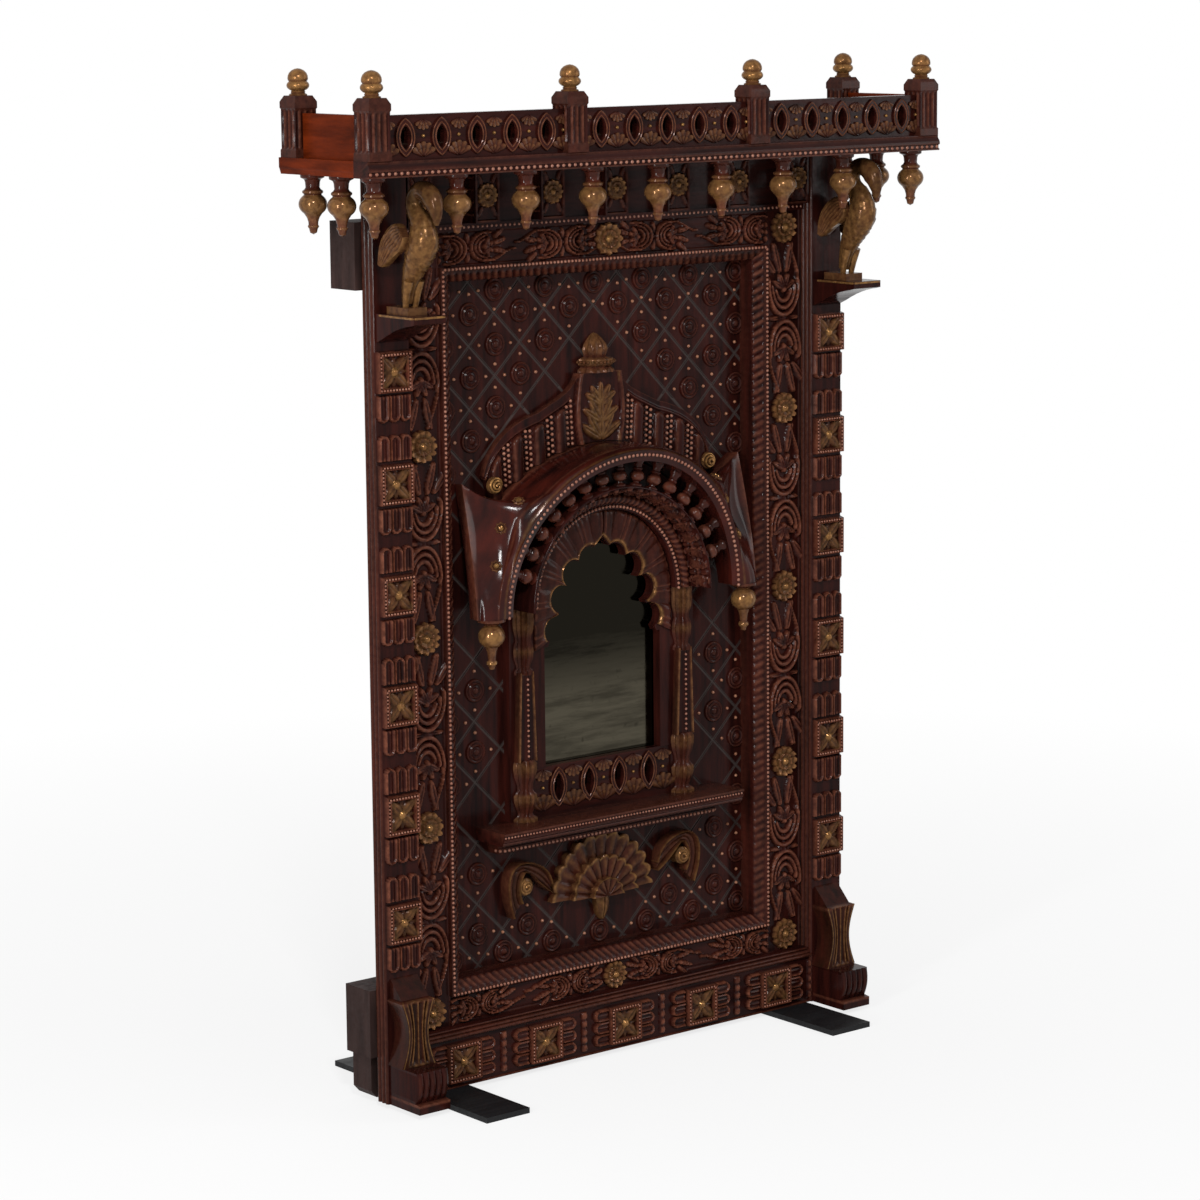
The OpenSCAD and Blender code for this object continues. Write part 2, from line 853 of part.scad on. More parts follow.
// Turned spindles that stand on the arch ring, cut to fit between it and the hood
module spindle_row() {
    spread = 17;
    l = spindle_len;
    r = spindle_r;
    profile = [[0, -6], [r * 0.8, -6], [r * 0.8, l * 0.08], [r * 0.5, l * 0.14], [r * 0.9, l * 0.2],
        [r, l * 0.32], [r * 0.92, l * 0.42], [r * 0.6, l * 0.54], [r * 0.44, l * 0.66], [r * 0.44, l * 0.76],
        [r * 0.62, l * 0.84], [r * 0.62, l + 6], [0, l + 6]];
    color(wood)
        translate([0, y_window - ring_thk + spindle_r, arch_z])
            difference() {
                intersection() {
                    for (i = [0:spindle_count - 1]) {
                        a = spread + i * (180 - 2 * spread) / (spindle_count - 1);
                        rotate([0, 90 - a, 0])
                            translate([0, 0, ring_r])
                                rotate_extrude($fn = 24)
                                    polygon(profile);
                    }
                    rotate([90, 0, 0])
                        cylinder(h = 4 * spindle_r, r = soffit_r - 0.2, center = true);
                }
                rotate([90, 0, 0])
                    cylinder(h = 6 * spindle_r, r = ring_r, center = true);
            }
}

// Front rim of the hood at an angle round the arch
function hood_rim(a) = [hood_r * cos(a),
    y_panel - hood_reach + (hood_reach - hood_end_reach) * cos(a) * cos(a), arch_z + hood_r * sin(a)];

// Upper edge of the hood: up its flank, in to the notch beside the dome, then over the arch
hood_flank = 36;
hood_notch = 52;
function hood_top(a) =
    a > 90 ? let (p = hood_top(180 - a)) [-p[0], p[1], p[2]] :
    a < hood_flank ? let (u = a / hood_flank)
        [hood_r + 36 - 3 * u, pendant_y + 2 + (y_dome - pendant_y - 2) * pow(u, 1.4),
            arch_z + (dome_base_z - 39 - arch_z) * u] :
    a < hood_notch ? let (u = (a - hood_flank) / (hood_notch - hood_flank),
            z_notch = dome_base_z - dome_r + sqrt(dome_r * dome_r - dome_half * dome_half))
        [(hood_r + 33) * (1 - u) + dome_half * u, y_dome,
            (dome_base_z - 39) * (1 - u) + z_notch * u] :
    let (b = 90 - asin(dome_half / dome_r) * (90 - a) / (90 - hood_notch) )
        [dome_r * cos(b), y_dome, dome_base_z - dome_r + dome_r * sin(b)];

// How far the hood swells out between rim and top edge: hollow on the flanks, round at the drums
function hood_swell(a) = 8 - 34 * exp(-pow((a - 27) / 14, 2)) + 12 * exp(-pow(a / 8, 2));

// One section of the hood: its face from rim to top edge, its back and its soffit
function hood_section(a) =
    let (rim = hood_rim(a), top = hood_top(a), out = [cos(a), -0.6, sin(a)] * hood_swell(min(a, 180 - a)),
        back = min(y_panel, top[1] + dome_thk), inner = soffit_r)
    concat(bend(rim, (rim + top) / 2 + out, top, 8),
        [[top[0], back, top[2]],
         [inner * cos(a), back, arch_z + inner * sin(a)],
         [inner * cos(a), rim[1] + 6, arch_z + inner * sin(a)]]);

module hood() {
    steps = 45;
    sections = [for (i = [0:steps]) hood_section(180 * i / steps)];
    n = len(sections[0]);
    color(wood)
        polyhedron(
            points = [for (s = sections, p = s) p],
            faces = concat([[for (j = [0:n - 1]) j]],
                [for (i = [0:steps - 1], j = [0:n - 1]) let (k = (j + 1) % n)
                    [i * n + j, (i + 1) * n + j, (i + 1) * n + k]],
                [for (i = [0:steps - 1], j = [0:n - 1]) let (k = (j + 1) % n)
                    [i * n + j, (i + 1) * n + k, i * n + k]],
                [[for (j = [n - 1:-1:0]) steps * n + j]]));
}

// A turned drop that hangs from the origin: flange, neck, ring, bulb and tapered tip
module drop(len, r) {
    bulb = r * 1.1;
    z_bulb = -len * 0.5;
    rotate_extrude()
        polygon(concat([[0, 0], [r * 0.84, 0], [r * 0.84, -len * 0.06], [r * 0.55, -len * 0.1],
            [r * 0.5, -len * 0.24], [r * 0.72, -len * 0.28], [r * 0.72, -len * 0.32]],
            [for (p = arc(0, 0, 1, 50, -48, 8)) [p[0] * r, z_bulb + p[1] * bulb * 0.72]],
            [[r * 0.34, -len * 0.82], [r * 0.26, -len * 0.97], [0, -len]]));
}

// A turned pendant on each drum of the hood: disc, bulb and tapered tip
module hood_pendants() {
    l = pendant_len;
    r = pendant_r;
    color(gold)
        for (s = [-1, 1])
            translate([s * pendant_x, pendant_y, arch_z])
                rotate_extrude()
                    polygon(concat([[0, 0], [r * 1.08, 0], [r * 1.08, -l * 0.05], [r * 0.8, -l * 0.08]],
                        [for (p = arc(0, 0, 1, 62, -62, 8)) [p[0] * r, -l * 0.34 + p[1] * l * 0.24]],
                        [[r * 0.34, -l * 0.66], [r * 0.28, -l * 0.86], [r * 0.36, -l * 0.9],
                         [r * 0.24, -l], [0, -l]]));
}

// Ribbed half dome on a plain ogee plate, with a carved leaf in the middle
module dome_fan() {
    ribs = 4;
    pitch = 40;
    lean = 9;
    rib_w = 9;
    panel_w = 33;
    plate = dome_thk - rib_h;
    color(wood)
        union() {
            relief(y_panel, plate)
                dome_outline();
            relief(y_panel - plate + bond, rib_h + bond)
                intersection() {
                    dome_outline();
                    translate([0, -14])
                        dome_outline();
                    for (i = [1:ribs], s = [-1, 1]) {
                        x0 = s * (26 + i * pitch);
                        x1 = x0 + s * lean;
                        for (d = [-rib_w, rib_w])
                            polygon([[x0 + d - 6, dome_base_z - 90], [x0 + d + 6, dome_base_z - 90],
                                [x1 + d + 7, dome_top], [x1 + d - 7, dome_top]]);
                    }
                }
            relief(y_panel - plate + bond, rib_h + bond)
                intersection() {
                    dome_outline();
                    polygon(concat([[-24, dome_base_z]], [[24, dome_base_z]],
                        bend([30, dome_base_z + 30], [42, dome_base_z + 80], [panel_w, dome_top]),
                        bend([-panel_w, dome_top], [-42, dome_base_z + 80], [-30, dome_base_z + 30])));
                }
            relief(y_panel - dome_thk + bond, rib_h + bond)
                translate([0, (dome_base_z + dome_top) / 2])
                    lens(40, dome_top - dome_base_z - 8);
        }
}

// Half-turned bud on the neck of the dome
module dome_finial() {
    h = dome_finial_h;
    r = 30;
    color(gold)
        intersection() {
            translate([0, y_panel, dome_top])
                rotate_extrude()
                    polygon([[0, 0], [r, 0], [r * 0.8, h * 0.16], [r * 0.96, h * 0.2], [r * 0.96, h * 0.34],
                        [r * 0.66, h * 0.4], [r * 0.85, h * 0.58], [r * 0.7, h * 0.78], [r * 0.3, h * 0.94], [0, h]]);
            block(-r, r, y_panel - r, y_panel, 0, dome_top + h);
        }
}

module scroll_curls() {
    r = 13;
    color(gold)
        for (s = [-1, 1])
            translate([s * (dome_half + 2), y_dome, dome_base_z - 44])
                rotate([90, 0, 0]) {
                    cylinder(h = 8, r = r);
                    cylinder(h = 14, r = r * 0.5);
                }
}

module window_shelf() {
    y_front = y_panel - shelf_reach;
    low = shelf_z - shelf_thk;
    color(wood)
        run_x(-shelf_w / 2, shelf_w / 2)
            polygon([[y_panel, low], [y_front + 6, low], [y_front + 3, low + shelf_thk * 0.4],
                [y_front, low + shelf_thk * 0.5], [y_front, shelf_z], [y_panel, shelf_z]]);
}

module dentil_strip() {
    half = shelf_w / 2 - 20;
    z_top = shelf_z - shelf_thk;
    y_strip = y_panel - shelf_reach * 0.45;
    count = 26;
    pitch = 2 * half / count;
    tooth = 7;
    color(wood)
        union() {
            block(-half, half, y_strip, y_panel, z_top - dentil_h, z_top);
            for (i = [0:count - 1])
                translate([-half + (i + 0.2) * pitch, y_strip - tooth, z_top - tooth])
                    cube([pitch * 0.6, tooth + bond, tooth]);
        }
}

// A fan of round-ended lobes that spread from the origin
module lobes(count, r, spread) {
    lobe_r = r * tan(spread / (count - 1)) * 0.92;
    for (i = [0:count - 1])
        rotate(-spread + 2 * spread * i / (count - 1)) {
            polygon([[-1.5, 0], [1.5, 0], [lobe_r, r - lobe_r], [-lobe_r, r - lobe_r]]);
            translate([0, r - lobe_r])
                circle(lobe_r);
        }
}

module shell() {
    layer = 8;
    spread = 86;
    color(gold)
        translate([0, 0, shell_z])
            union() {
                relief(y_panel, layer + 2)
                    lobes(13, shell_r, spread);
                relief(y_panel, 2 * layer + 2)
                    lobes(11, shell_r * 0.62, spread);
                relief(y_panel, 3 * layer + 2)
                    lobes(7, shell_r * 0.28, spread);
                relief(y_panel, 2 * layer)
                    translate([0, -10])
                        lens(24, 56);
            }
}

// A leaf scroll beside the shell: a wave that rises, rolls over and ends in a hanging tip
module shell_scroll(side) {
    curl_r = 13;
    over = concat(bend([4, 35], [8, 67], [49, 74]), bend([64, 74], [100, 63], [75, -7]));
    under = concat(bend([57, 15], [70, 37], [54, 59]), bend([44, 57], [26, 33], [4, 21]));
    color(gold)
        on_side(side)
            translate([shell_r, 0, shell_z])
                union() {
                    relief(y_panel, 20)
                        polygon(concat(over, under));
                    relief(y_panel, 24)
                        translate([52, 37])
                            circle(curl_r);
                }
}

module frieze_board() {
    lip = 10;
    color(wood)
        union() {
            block(-x_band, x_band, y_band, y_band_back, z_band_top, z_deck);
            block(-x_band, x_band, y_bead, y_band + bond, z_band_top, z_band_top + lip);
        }
}

module frieze_blocks() {
    lip = 10;
    h = frieze_h - lip;
    color(wood)
        for (i = [-3:3])
            translate([i * frieze_pitch, 0, z_band_top + lip]) {
                block(-frieze_block_w / 2, frieze_block_w / 2, y_ground + 6, y_band, 0, h);
                translate([0, 0, h / 2])
                    square_boss(y_ground + 6, frieze_block_w - 4, 6);
            }
}

module bird_corbel(side) {
    y_front = y_face - corbel_reach;
    color(wood)
        on_side(side)
            run_x(x_pilaster - bracket_w / 2, x_pilaster + bracket_w / 2)
                polygon(concat([[y_ground, z_bird], [y_front, z_bird], [y_front, z_bird - corbel_h * 0.25]],
                    bend([y_front + 8, z_bird - corbel_h * 0.3], [y_front + 40, z_bird - corbel_h * 0.4],
                        [y_ground - 14, z_bird - corbel_h * 0.85], 6), [[y_ground, z_bird - corbel_h]]));
}

// A standing bird with a bent neck: beads along its back line are joined one by one
module bird(side) {
    s = bird_h / 182;
    // Depth in front of the boss faces, height over the corbel and radius
    spine = [[26, 14, 13], [40, 40, 20], [54, 74, 26], [65, 100, 24], [63, 126, 17],
        [64, 148, 13], [74, 167, 12], [90, 166, 12], [99, 146, 8], [97, 122, 4]];
    wing = [[46, 104, 9], [24, 92, 15], [4, 70, 11]];
    color(gold)
        on_side(side)
            translate([x_pilaster, y_face, z_bird]) {
                for (i = [0:len(spine) - 2])
                    hull()
                        for (b = [spine[i], spine[i + 1]])
                            translate([0, -b[0], b[1]] * s)
                                sphere(b[2] * s, $fn = 16);
                for (x = [-1, 1], i = [0:len(wing) - 2])
                    hull()
                        for (b = [wing[i], wing[i + 1]])
                            translate([x * 21, -b[0], b[1]] * s)
                                rotate([0, 90, 0])
                                    cylinder(h = 7 * s, r = b[2] * s, center = true, $fn = 16);
                translate([-16, -58, 0] * s)
                    cube([32, 46, 12] * s);
            }
}

module balcony_floor() {
    half = x_base - post_w;
    color(dark_wood)
        block(-half, half, y_base + post_w, y_base_back, z_deck, z_deck + deck_thk);
}

// Step profile of the base moulding: outer edge first, then up
function base_profile(out, inner, d) = [[inner, z_deck], [out + d * 3, z_deck], [out + d, z_deck + base_h * 0.3],
    [out, z_deck + base_h * 0.4], [out, z_base], [inner, z_base]];

module base_front() {
    color(wood)
        run_x(-x_base, x_base)
            polygon(base_profile(y_base, y_base + post_w, 1));
}

module base_end(side) {
    color(wood)
        on_side(side)
            translate([0, y_base_back, 0])
                rotate([90, 0, 0])
                    linear_extrude(y_base_back - y_base - post_w)
                        polygon(base_profile(x_base, x_base - post_w, -1));
}

// A pierced panel between two posts
module railing(x0, x1) {
    y_rail = y_post + rail_thk / 2;
    count = 5;
    pitch = (x1 - x0) / count;
    color(wood)
        union() {
            relief(y_rail, rail_thk)
                difference() {
                    translate([x0, z_base])
                        square([x1 - x0, panel_h]);
                    for (i = [0:count - 1])
                        translate([x0 + (i + 0.5) * pitch, z_base + panel_h / 2])
                            lens(lens_w, lens_h * 0.8);
                }
            relief(y_rail - rail_thk + bond, 3 + bond)
                for (i = [0:count - 1])
                    translate([x0 + (i + 0.5) * pitch, z_base + panel_h / 2])
                        difference() {
                            lens(lens_w + 14, lens_h * 0.8 + 20);
                            lens(lens_w, lens_h * 0.8);
                        }
        }
}

module end_panel(side) {
    color(orange_wood)
        on_side(side)
            block(post_x - rail_thk / 2, post_x + rail_thk / 2,
                y_post + post_w / 2, y_post_back - post_w / 2, z_base, z_base + panel_h);
}

// Each post stands on the base moulding
post_places = [[-post_x, y_post], [-inner_post_x, y_post], [inner_post_x, y_post], [post_x, y_post],
    [-post_x, y_post_back], [post_x, y_post_back]];

module balcony_posts() {
    shoulder = 16;
    neck = post_w * 0.33;
    side = bend([post_w / 2, post_h - shoulder], [post_w / 2 - 1, post_h - 5], [neck, post_h], 5);
    outline = concat([[-post_w / 2, 0], [post_w / 2, 0]], side, flip_x(side));
    color(wood)
        for (p = post_places)
            translate([p[0], p[1], z_base])
                intersection() {
                    relief(post_w / 2, post_w)
                        polygon(outline);
                    rotate([0, 0, 90])
                        relief(post_w / 2, post_w)
                            polygon(outline);
                }
}

module balcony_finials() {
    h = finial_h;
    r = h * 0.43;
    color(gold)
        for (p = post_places)
            translate([p[0], p[1], z_post])
                rotate_extrude()
                    polygon(concat([[0, 0], [r * 0.66, 0], [r * 0.7, h * 0.08]],
                        arc(0, h * 0.36, r, -42, 40, 8),
                        [[r * 0.84, h * 0.68], [r * 0.8, h * 0.86], [r * 0.5, h], [0, h]]));
}

module balcony_drops() {
    inset = 9;
    x_end = post_x - inset;
    y_front = y_post + inset + 3;
    color(gold) {
        for (x = concat([for (i = [-3:3]) i * drop_pitch], [-x_end, x_end]))
            translate([x, y_front, z_deck])
                drop(drop_len, drop_r);
        for (x = [-x_end, x_end], k = [0.46, 0.88])
            translate([x, y_front + k * (post_span - inset), z_deck])
                drop(drop_len, drop_r);
    }
}

foot_bar(-1);  // foot_bar_left
foot_bar(1);  // foot_bar_right
heel_block(-1);  // heel_block_left
heel_block(1);  // heel_block_right
sill_beam();
lintel_beam();
back_stile(-1);  // back_stile_left
back_stile(1);  // back_stile_right
bottom_rail();
ledge_moulding();
pilaster(-1);  // pilaster_left
pilaster(1);  // pilaster_right
foot_block(-1);  // foot_block_left
foot_block(1);  // foot_block_right
foot_console(-1);  // foot_console_left
foot_console(1);  // foot_console_right
floral_band_side(-1);  // floral_band_left
floral_band_side(1);  // floral_band_right
floral_band_across(z_field_top, z_band_top);  // floral_band_top
floral_band_across(z_ledge, z_field);  // floral_band_bottom
rope_moulding_side(-1);  // rope_moulding_left
rope_moulding_side(1);  // rope_moulding_right
rope_moulding_across(-90);  // rope_moulding_top
rope_moulding_across(90);  // rope_moulding_bottom
lattice_panel();
mirror_glass();
window_board();
arch_ring();
colonnette(-1);  // colonnette_left
colonnette(1);  // colonnette_right
window_sill_rail();
spindle_row();
hood();
hood_pendants();
dome_fan();
dome_finial();
scroll_curls();
window_shelf();
dentil_strip();
shell();
shell_scroll(-1);  // shell_scroll_left
shell_scroll(1);  // shell_scroll_right
frieze_board();
frieze_blocks();
bird_corbel(-1);  // bird_corbel_left
bird_corbel(1);  // bird_corbel_right
bird(-1);  // bird_left
bird(1);  // bird_right
balcony_floor();
base_front();
base_end(-1);  // base_end_left
base_end(1);  // base_end_right
railing(-post_x + post_w / 2, -inner_post_x - post_w / 2);  // railing_left
railing(-inner_post_x + post_w / 2, inner_post_x - post_w / 2);  // railing_middle
railing(inner_post_x + post_w / 2, post_x - post_w / 2);  // railing_right
end_panel(-1);  // end_panel_left
end_panel(1);  // end_panel_right
balcony_posts();
balcony_finials();
balcony_drops();
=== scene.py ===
import math

import bmesh
import bpy
import numpy as np
from mathutils import Euler, Matrix, Vector


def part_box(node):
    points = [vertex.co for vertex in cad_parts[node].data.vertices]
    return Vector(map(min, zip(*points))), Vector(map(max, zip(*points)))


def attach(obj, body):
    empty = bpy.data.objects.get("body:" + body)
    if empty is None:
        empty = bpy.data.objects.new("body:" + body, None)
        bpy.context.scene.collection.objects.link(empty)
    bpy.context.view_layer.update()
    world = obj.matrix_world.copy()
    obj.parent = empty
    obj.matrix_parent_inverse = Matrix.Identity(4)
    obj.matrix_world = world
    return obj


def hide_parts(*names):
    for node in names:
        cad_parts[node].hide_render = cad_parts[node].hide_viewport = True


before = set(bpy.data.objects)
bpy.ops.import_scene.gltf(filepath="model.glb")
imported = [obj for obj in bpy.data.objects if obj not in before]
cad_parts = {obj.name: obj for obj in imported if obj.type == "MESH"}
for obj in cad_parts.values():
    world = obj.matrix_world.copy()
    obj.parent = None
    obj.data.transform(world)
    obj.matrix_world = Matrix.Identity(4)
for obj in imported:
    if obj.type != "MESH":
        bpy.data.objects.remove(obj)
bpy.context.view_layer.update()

bl_info = {
    "name": "Carved jharokha window frame",
    "version": (1, 0, 0),
    "blender": (4, 5, 0),
    "location": "3D View > Sidebar > Jharokha",
    "description": "Carves and finishes a jharokha window frame over its solid model",
    "category": "Add Mesh",
}

# Shapes are drawn in millimetres: X to the right, Y to the back, Z up from the floor
MM = 0.001


def node_box(node):
    """Lowest and highest corner of a solid, in millimetres."""
    lo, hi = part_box(node)
    return np.array(lo) / MM, np.array(hi) / MM


# Sizes and finishes that a user would change

def colour(label, note, value):
    return bpy.props.FloatVectorProperty(name=label, description=note, subtype="COLOR", size=4, default=value)


def measure(label, note, value):
    return bpy.props.FloatProperty(name=label, description=note, unit="LENGTH", default=value)


def amount(label, note, value):
    return bpy.props.FloatProperty(name=label, description=note, default=value)


class JharokhaFinish(bpy.types.PropertyGroup):
    wood_dark: colour("Dark wood", "Colour of the wood in the grain", (0.0065, 0.002, 0.0018, 1))
    wood_light: colour("Red wood", "Colour of the wood between the grain", (0.038, 0.0072, 0.0048, 1))
    copper: colour("Rubbed edge", "Colour of the edges that are rubbed bare", (0.17, 0.056, 0.031, 1))
    gold: colour("Gold", "Colour of the gilding", (0.27, 0.138, 0.045, 1))
    umber: colour("Old gold", "Colour of the gilding in its hollows", (0.03, 0.0115, 0.006, 1))
    # The end panels' orange-red is partly their own red and partly painted light from the left.
    panel_red_and_painted_light: colour("End panels", "Colour of the plain end panels", (0.155, 0.021, 0.004, 1))
    back: colour("Back frame", "Colour of the rough wood at the back", (0.03, 0.0165, 0.0145, 1))
    steel: colour("Steel", "Colour of the painted steel bars", (0.006, 0.006, 0.0065, 1))
    # The mirror's dark olive tint is partly tarnish and partly a painted reflection of dark surroundings.
    glass: colour("Mirror", "Tint of the old mirror", (0.074, 0.065, 0.046, 1))


class JharokhaCarving(bpy.types.PropertyGroup):
    cell: measure("Carving step", "Distance between the points of a carved face", 0.0016)
    bead: measure("Bead", "Diameter of the small beads", 0.0044)
    boss_bead: measure("Boss bead", "Diameter of the beads round the bosses", 0.0033)
    pin: measure("Pin", "Diameter of the gold pins of the lattice", 0.0052)
    rope_pitch: measure("Rope", "Distance between the strokes of the rope moulding", 0.0125)
    leaf_height: measure("Leaves", "Height of the carved leaves over their ground", 0.008)


class JharokhaStage(bpy.types.PropertyGroup):
    camera_place: bpy.props.FloatVectorProperty(
        name="Camera", description="Place of the camera", unit="LENGTH", size=3,
        default=(-3.3283, -4.0837, 1.5644))
    camera_turn: bpy.props.FloatVectorProperty(
        name="Camera turn", description="Azimuth, elevation and roll of the camera in degrees", size=3,
        default=(-39.14, 9.65, -0.53))
    lens: amount("Lens", "Focal length in millimetres on a 36 mm sensor", 110.74)
    key: amount("Key light", "Watts of the key light", 105.0)
    fill: amount("Fill light", "Watts of the fill light", 30.0)
    side: amount("Side light", "Watts of the light at the left", 95.0)
    sky: amount("Sky", "Strength of the light all round", 0.4)


# Forms: points, faces and two marks for each point, rub for bare edges and gilt for gilding

def form(points, faces, rub, gilt):
    faces = [[int(k) for k in face] for face in faces]
    return {"v": points.reshape(-1, 3), "f": faces, "rub": rub, "gilt": gilt}


def join(forms):
    points, faces, start = [], [], 0
    for part in forms:
        points.append(part["v"])
        faces.extend([[k + start for k in face] for face in part["f"]])
        start += len(part["v"])
    return {"v": np.concatenate(points), "f": faces,
            "rub": np.concatenate([p["rub"] for p in forms]),
            "gilt": np.concatenate([p["gilt"] for p in forms])}


def moved(part, offset, turn=None):
    points = part["v"]
    if turn is not None:
        points = points @ np.array(Euler(turn).to_matrix()).T
    return {**part, "v": points + np.asarray(offset, float)}


def mirrored(part):
    return {**part, "v": part["v"] * np.array([-1.0, 1.0, 1.0])}


def grid(first, second):
    """Even points over a rectangle. Each side is its start, its end and a count."""
    return np.meshgrid(np.linspace(*first), np.linspace(*second), indexing="ij")


def quads(rows, columns):
    corner = (np.arange(rows - 1)[:, None] * columns + np.arange(columns - 1)[None, :]).ravel()
    return np.stack([corner, corner + columns, corner + columns + 1, corner + 1], -1)


def slab(front, y_back, rub=0.0, gilt=0.0):
    """A carved face with straight sides down to a flat back."""
    rows, columns = front.shape[:2]
    index = np.arange(rows * columns).reshape(rows, columns)
    edge = np.concatenate([index[:-1, 0], index[-1, :-1], index[:0:-1, -1], index[0, :0:-1]])
    back = front.reshape(-1, 3)[edge].copy()
    back[:, 1] = y_back
    count = len(edge)
    start = rows * columns
    sides = [[edge[k], edge[(k + 1) % count], start + (k + 1) % count, start + k] for k in range(count)]
    faces = list(quads(rows, columns)) + sides + [list(range(start, start + count))]
    marks = []
    for mark in (rub, gilt):
        value = np.broadcast_to(np.asarray(mark, float), (rows, columns)).ravel()
        marks.append(np.concatenate([value, value[edge] * 0.4]))
    return form(np.concatenate([front.reshape(-1, 3), back]), faces, *marks)


def loft(rings, rub=0.0, gilt=0.0, closed=False):
    """A skin over closed rings, with a flat cap at both ends, or from the last ring on to the first."""
    rings = np.asarray(rings, float)
    count, size = rings.shape[:2]
    faces = []
    for i in range(count if closed else count - 1):
        here, there = i * size, (i + 1) % count * size
        for j in range(size):
            k = (j + 1) % size
            faces.append([here + j, there + j, there + k, here + k])
    if not closed:
        faces.append(list(range(size)))
        faces.append(list(range((count - 1) * size, count * size)))
    marks = [np.broadcast_to(np.asarray(mark, float), (count, size)).ravel() for mark in (rub, gilt)]
    return form(rings, faces, *marks)


def turned(profile, sides=24, flutes=0, depth=0.0, rub=None, gilt=None):
    """A turned form about Z from (radius, height) points, with carved flutes where they are asked for."""
    profile = np.asarray(profile, float)
    angle = np.linspace(0, 2 * np.pi, sides, endpoint=False)
    wave = 1 - depth * np.abs(np.sin(flutes * angle / 2)) if flutes else np.ones(sides)
    rings = [np.stack([max(r, 0.05) * wave * np.cos(angle), max(r, 0.05) * wave * np.sin(angle),
                       np.full(sides, z)], -1) for r, z in profile]
    marks = [np.zeros(len(profile)) if m is None else np.resize(np.asarray(m, float), len(profile))
             for m in (rub, gilt)]
    return loft(rings, marks[0][:, None], marks[1][:, None])


def tube(path, radius, sides=6, rub=0.0, gilt=0.0, closed=False):
    """A round rod along a path of points."""
    path = np.asarray(path, float)
    radius = np.resize(np.asarray(radius, float), len(path))
    if closed:
        tangent = np.roll(path, -1, 0) - np.roll(path, 1, 0)
    else:
        tangent = np.gradient(path, axis=0)
    tangent /= np.linalg.norm(tangent, axis=1)[:, None]
    side = np.cross(tangent[0], [0.3, 1.0, 0.2])
    rings = []
    for point, way, r in zip(path, tangent, radius):
        side = side - way * (side @ way)
        side = side / np.linalg.norm(side)
        up = np.cross(way, side)
        a = np.linspace(0, 2 * np.pi, sides, endpoint=False)[:, None]
        rings.append(point + r * (np.cos(a) * side + np.sin(a) * up))
    return loft(rings, rub, gilt, closed)


def along_x(outline, x0, x1, count):
    """Rings of one outline in Y and Z, at even places along X."""
    return [np.column_stack([np.full(len(outline), x), outline]) for x in np.linspace(x0, x1, count)]


def cos_sin(degrees):
    angle = math.radians(degrees)
    return math.cos(angle), math.sin(angle)


def belly(radius, middle, rise, first, last, count=13):
    """The round part of a turned profile, between two angles in degrees."""
    turns = [cos_sin(degrees) for degrees in np.linspace(first, last, count)]
    return [(radius * c, middle + rise * s) for c, s in turns]


def spiral(turns, radius, y_rim, rise, count):
    """An upright spiral from its eye to its rim. The eye stands out by the rise."""
    eye = 2.0
    angle = np.linspace(0, 2 * np.pi * turns, count)
    share = angle / angle[-1]
    reach = eye + (radius - eye) * share
    return np.stack([reach * np.cos(angle), y_rim - rise * (1 - share), reach * np.sin(angle)], -1)


def rectangle(x, y, z, half_x, half_z):
    """The corners of an upright rectangle about a point."""
    return [(x + u * half_x, y, z + v * half_z) for u, v in ((-1, -1), (1, -1), (1, 1), (-1, 1))]


def upright(points):
    """Places for copies that are neither turned nor sized."""
    return [(point, (0, 0, 0), 1.0) for point in points]


def bend(a, control, b, count=12):
    """A curve from a to b that leaves and arrives towards the control point."""
    t = np.linspace(0, 1, count)[:, None]
    return np.array(a) * (1 - t) ** 2 + np.array(control) * 2 * t * (1 - t) + np.array(b) * t ** 2


def spread_out(points, count):
    """The same line with its points at even distances."""
    points = np.asarray(points, float)
    run = np.concatenate([[0], np.cumsum(np.linalg.norm(np.diff(points, axis=0), axis=1))])
    at = np.linspace(0, run[-1], count)
    return np.stack([np.interp(at, run, points[:, k]) for k in range(points.shape[1])], -1)


def smooth_line(points, count):
    """A smooth line through points, by cubic pieces."""
    p = np.asarray(points, float)
    p = np.concatenate([[2 * p[0] - p[1]], p, [2 * p[-1] - p[-2]]])
    out = []
    for u in np.linspace(0, len(p) - 3 - 1e-6, count):
        i = int(u)
        t = u - i
        a, b, c, d = p[i:i + 4]
        out.append(0.5 * (2 * b + (c - a) * t + (2 * a - 5 * b + 4 * c - d) * t * t
                          + (3 * b - a - 3 * c + d) * t ** 3))
    return np.array(out)


# Heights of carving, over a flat ground

# Width of a boss's border as a share of the boss, and the pitch and height of the tongues beside a boss
BOSS_BORDER = 0.13
TONGUE_PITCH = 18.4
TONGUE_SHARE = 0.75


def step(low, high, value):
    t = np.clip((value - low) / (high - low), 0, 1)
    return t * t * (3 - 2 * t)


def bell(distance, width):
    return np.exp(-(distance / width) ** 2)


def ridge(distance, half, height):
    return height * np.sqrt(np.clip(1 - (distance / half) ** 2, 0, 1))


def petal(x, z, angle, start, length, half, height):
    """A leaf that points away from the origin, with a vein along its middle."""
    c, s = cos_sin(angle)
    t = np.clip((x * c + z * s - start) / length, 0, 1)
    across = z * c - x * s
    width = half * np.sqrt(np.sin(np.pi * t ** 0.8) + 1e-6)
    body = ridge(across, width, height)
    return body * (1 - 0.35 * bell(across, 0.14 * half)) * ((t > 0) & (t < 1))


def blur(height, reach):
    for axis in (0, 1):
        pad = [(reach + 1, reach) if k == axis else (0, 0) for k in (0, 1)]
        total = np.cumsum(np.pad(height, pad, mode="edge"), axis=axis)
        size = 2 * reach + 1
        upper = np.take(total, np.arange(size, total.shape[axis]), axis=axis)
        lower = np.take(total, np.arange(0, total.shape[axis] - size), axis=axis)
        height = (upper - lower) / size
    return height


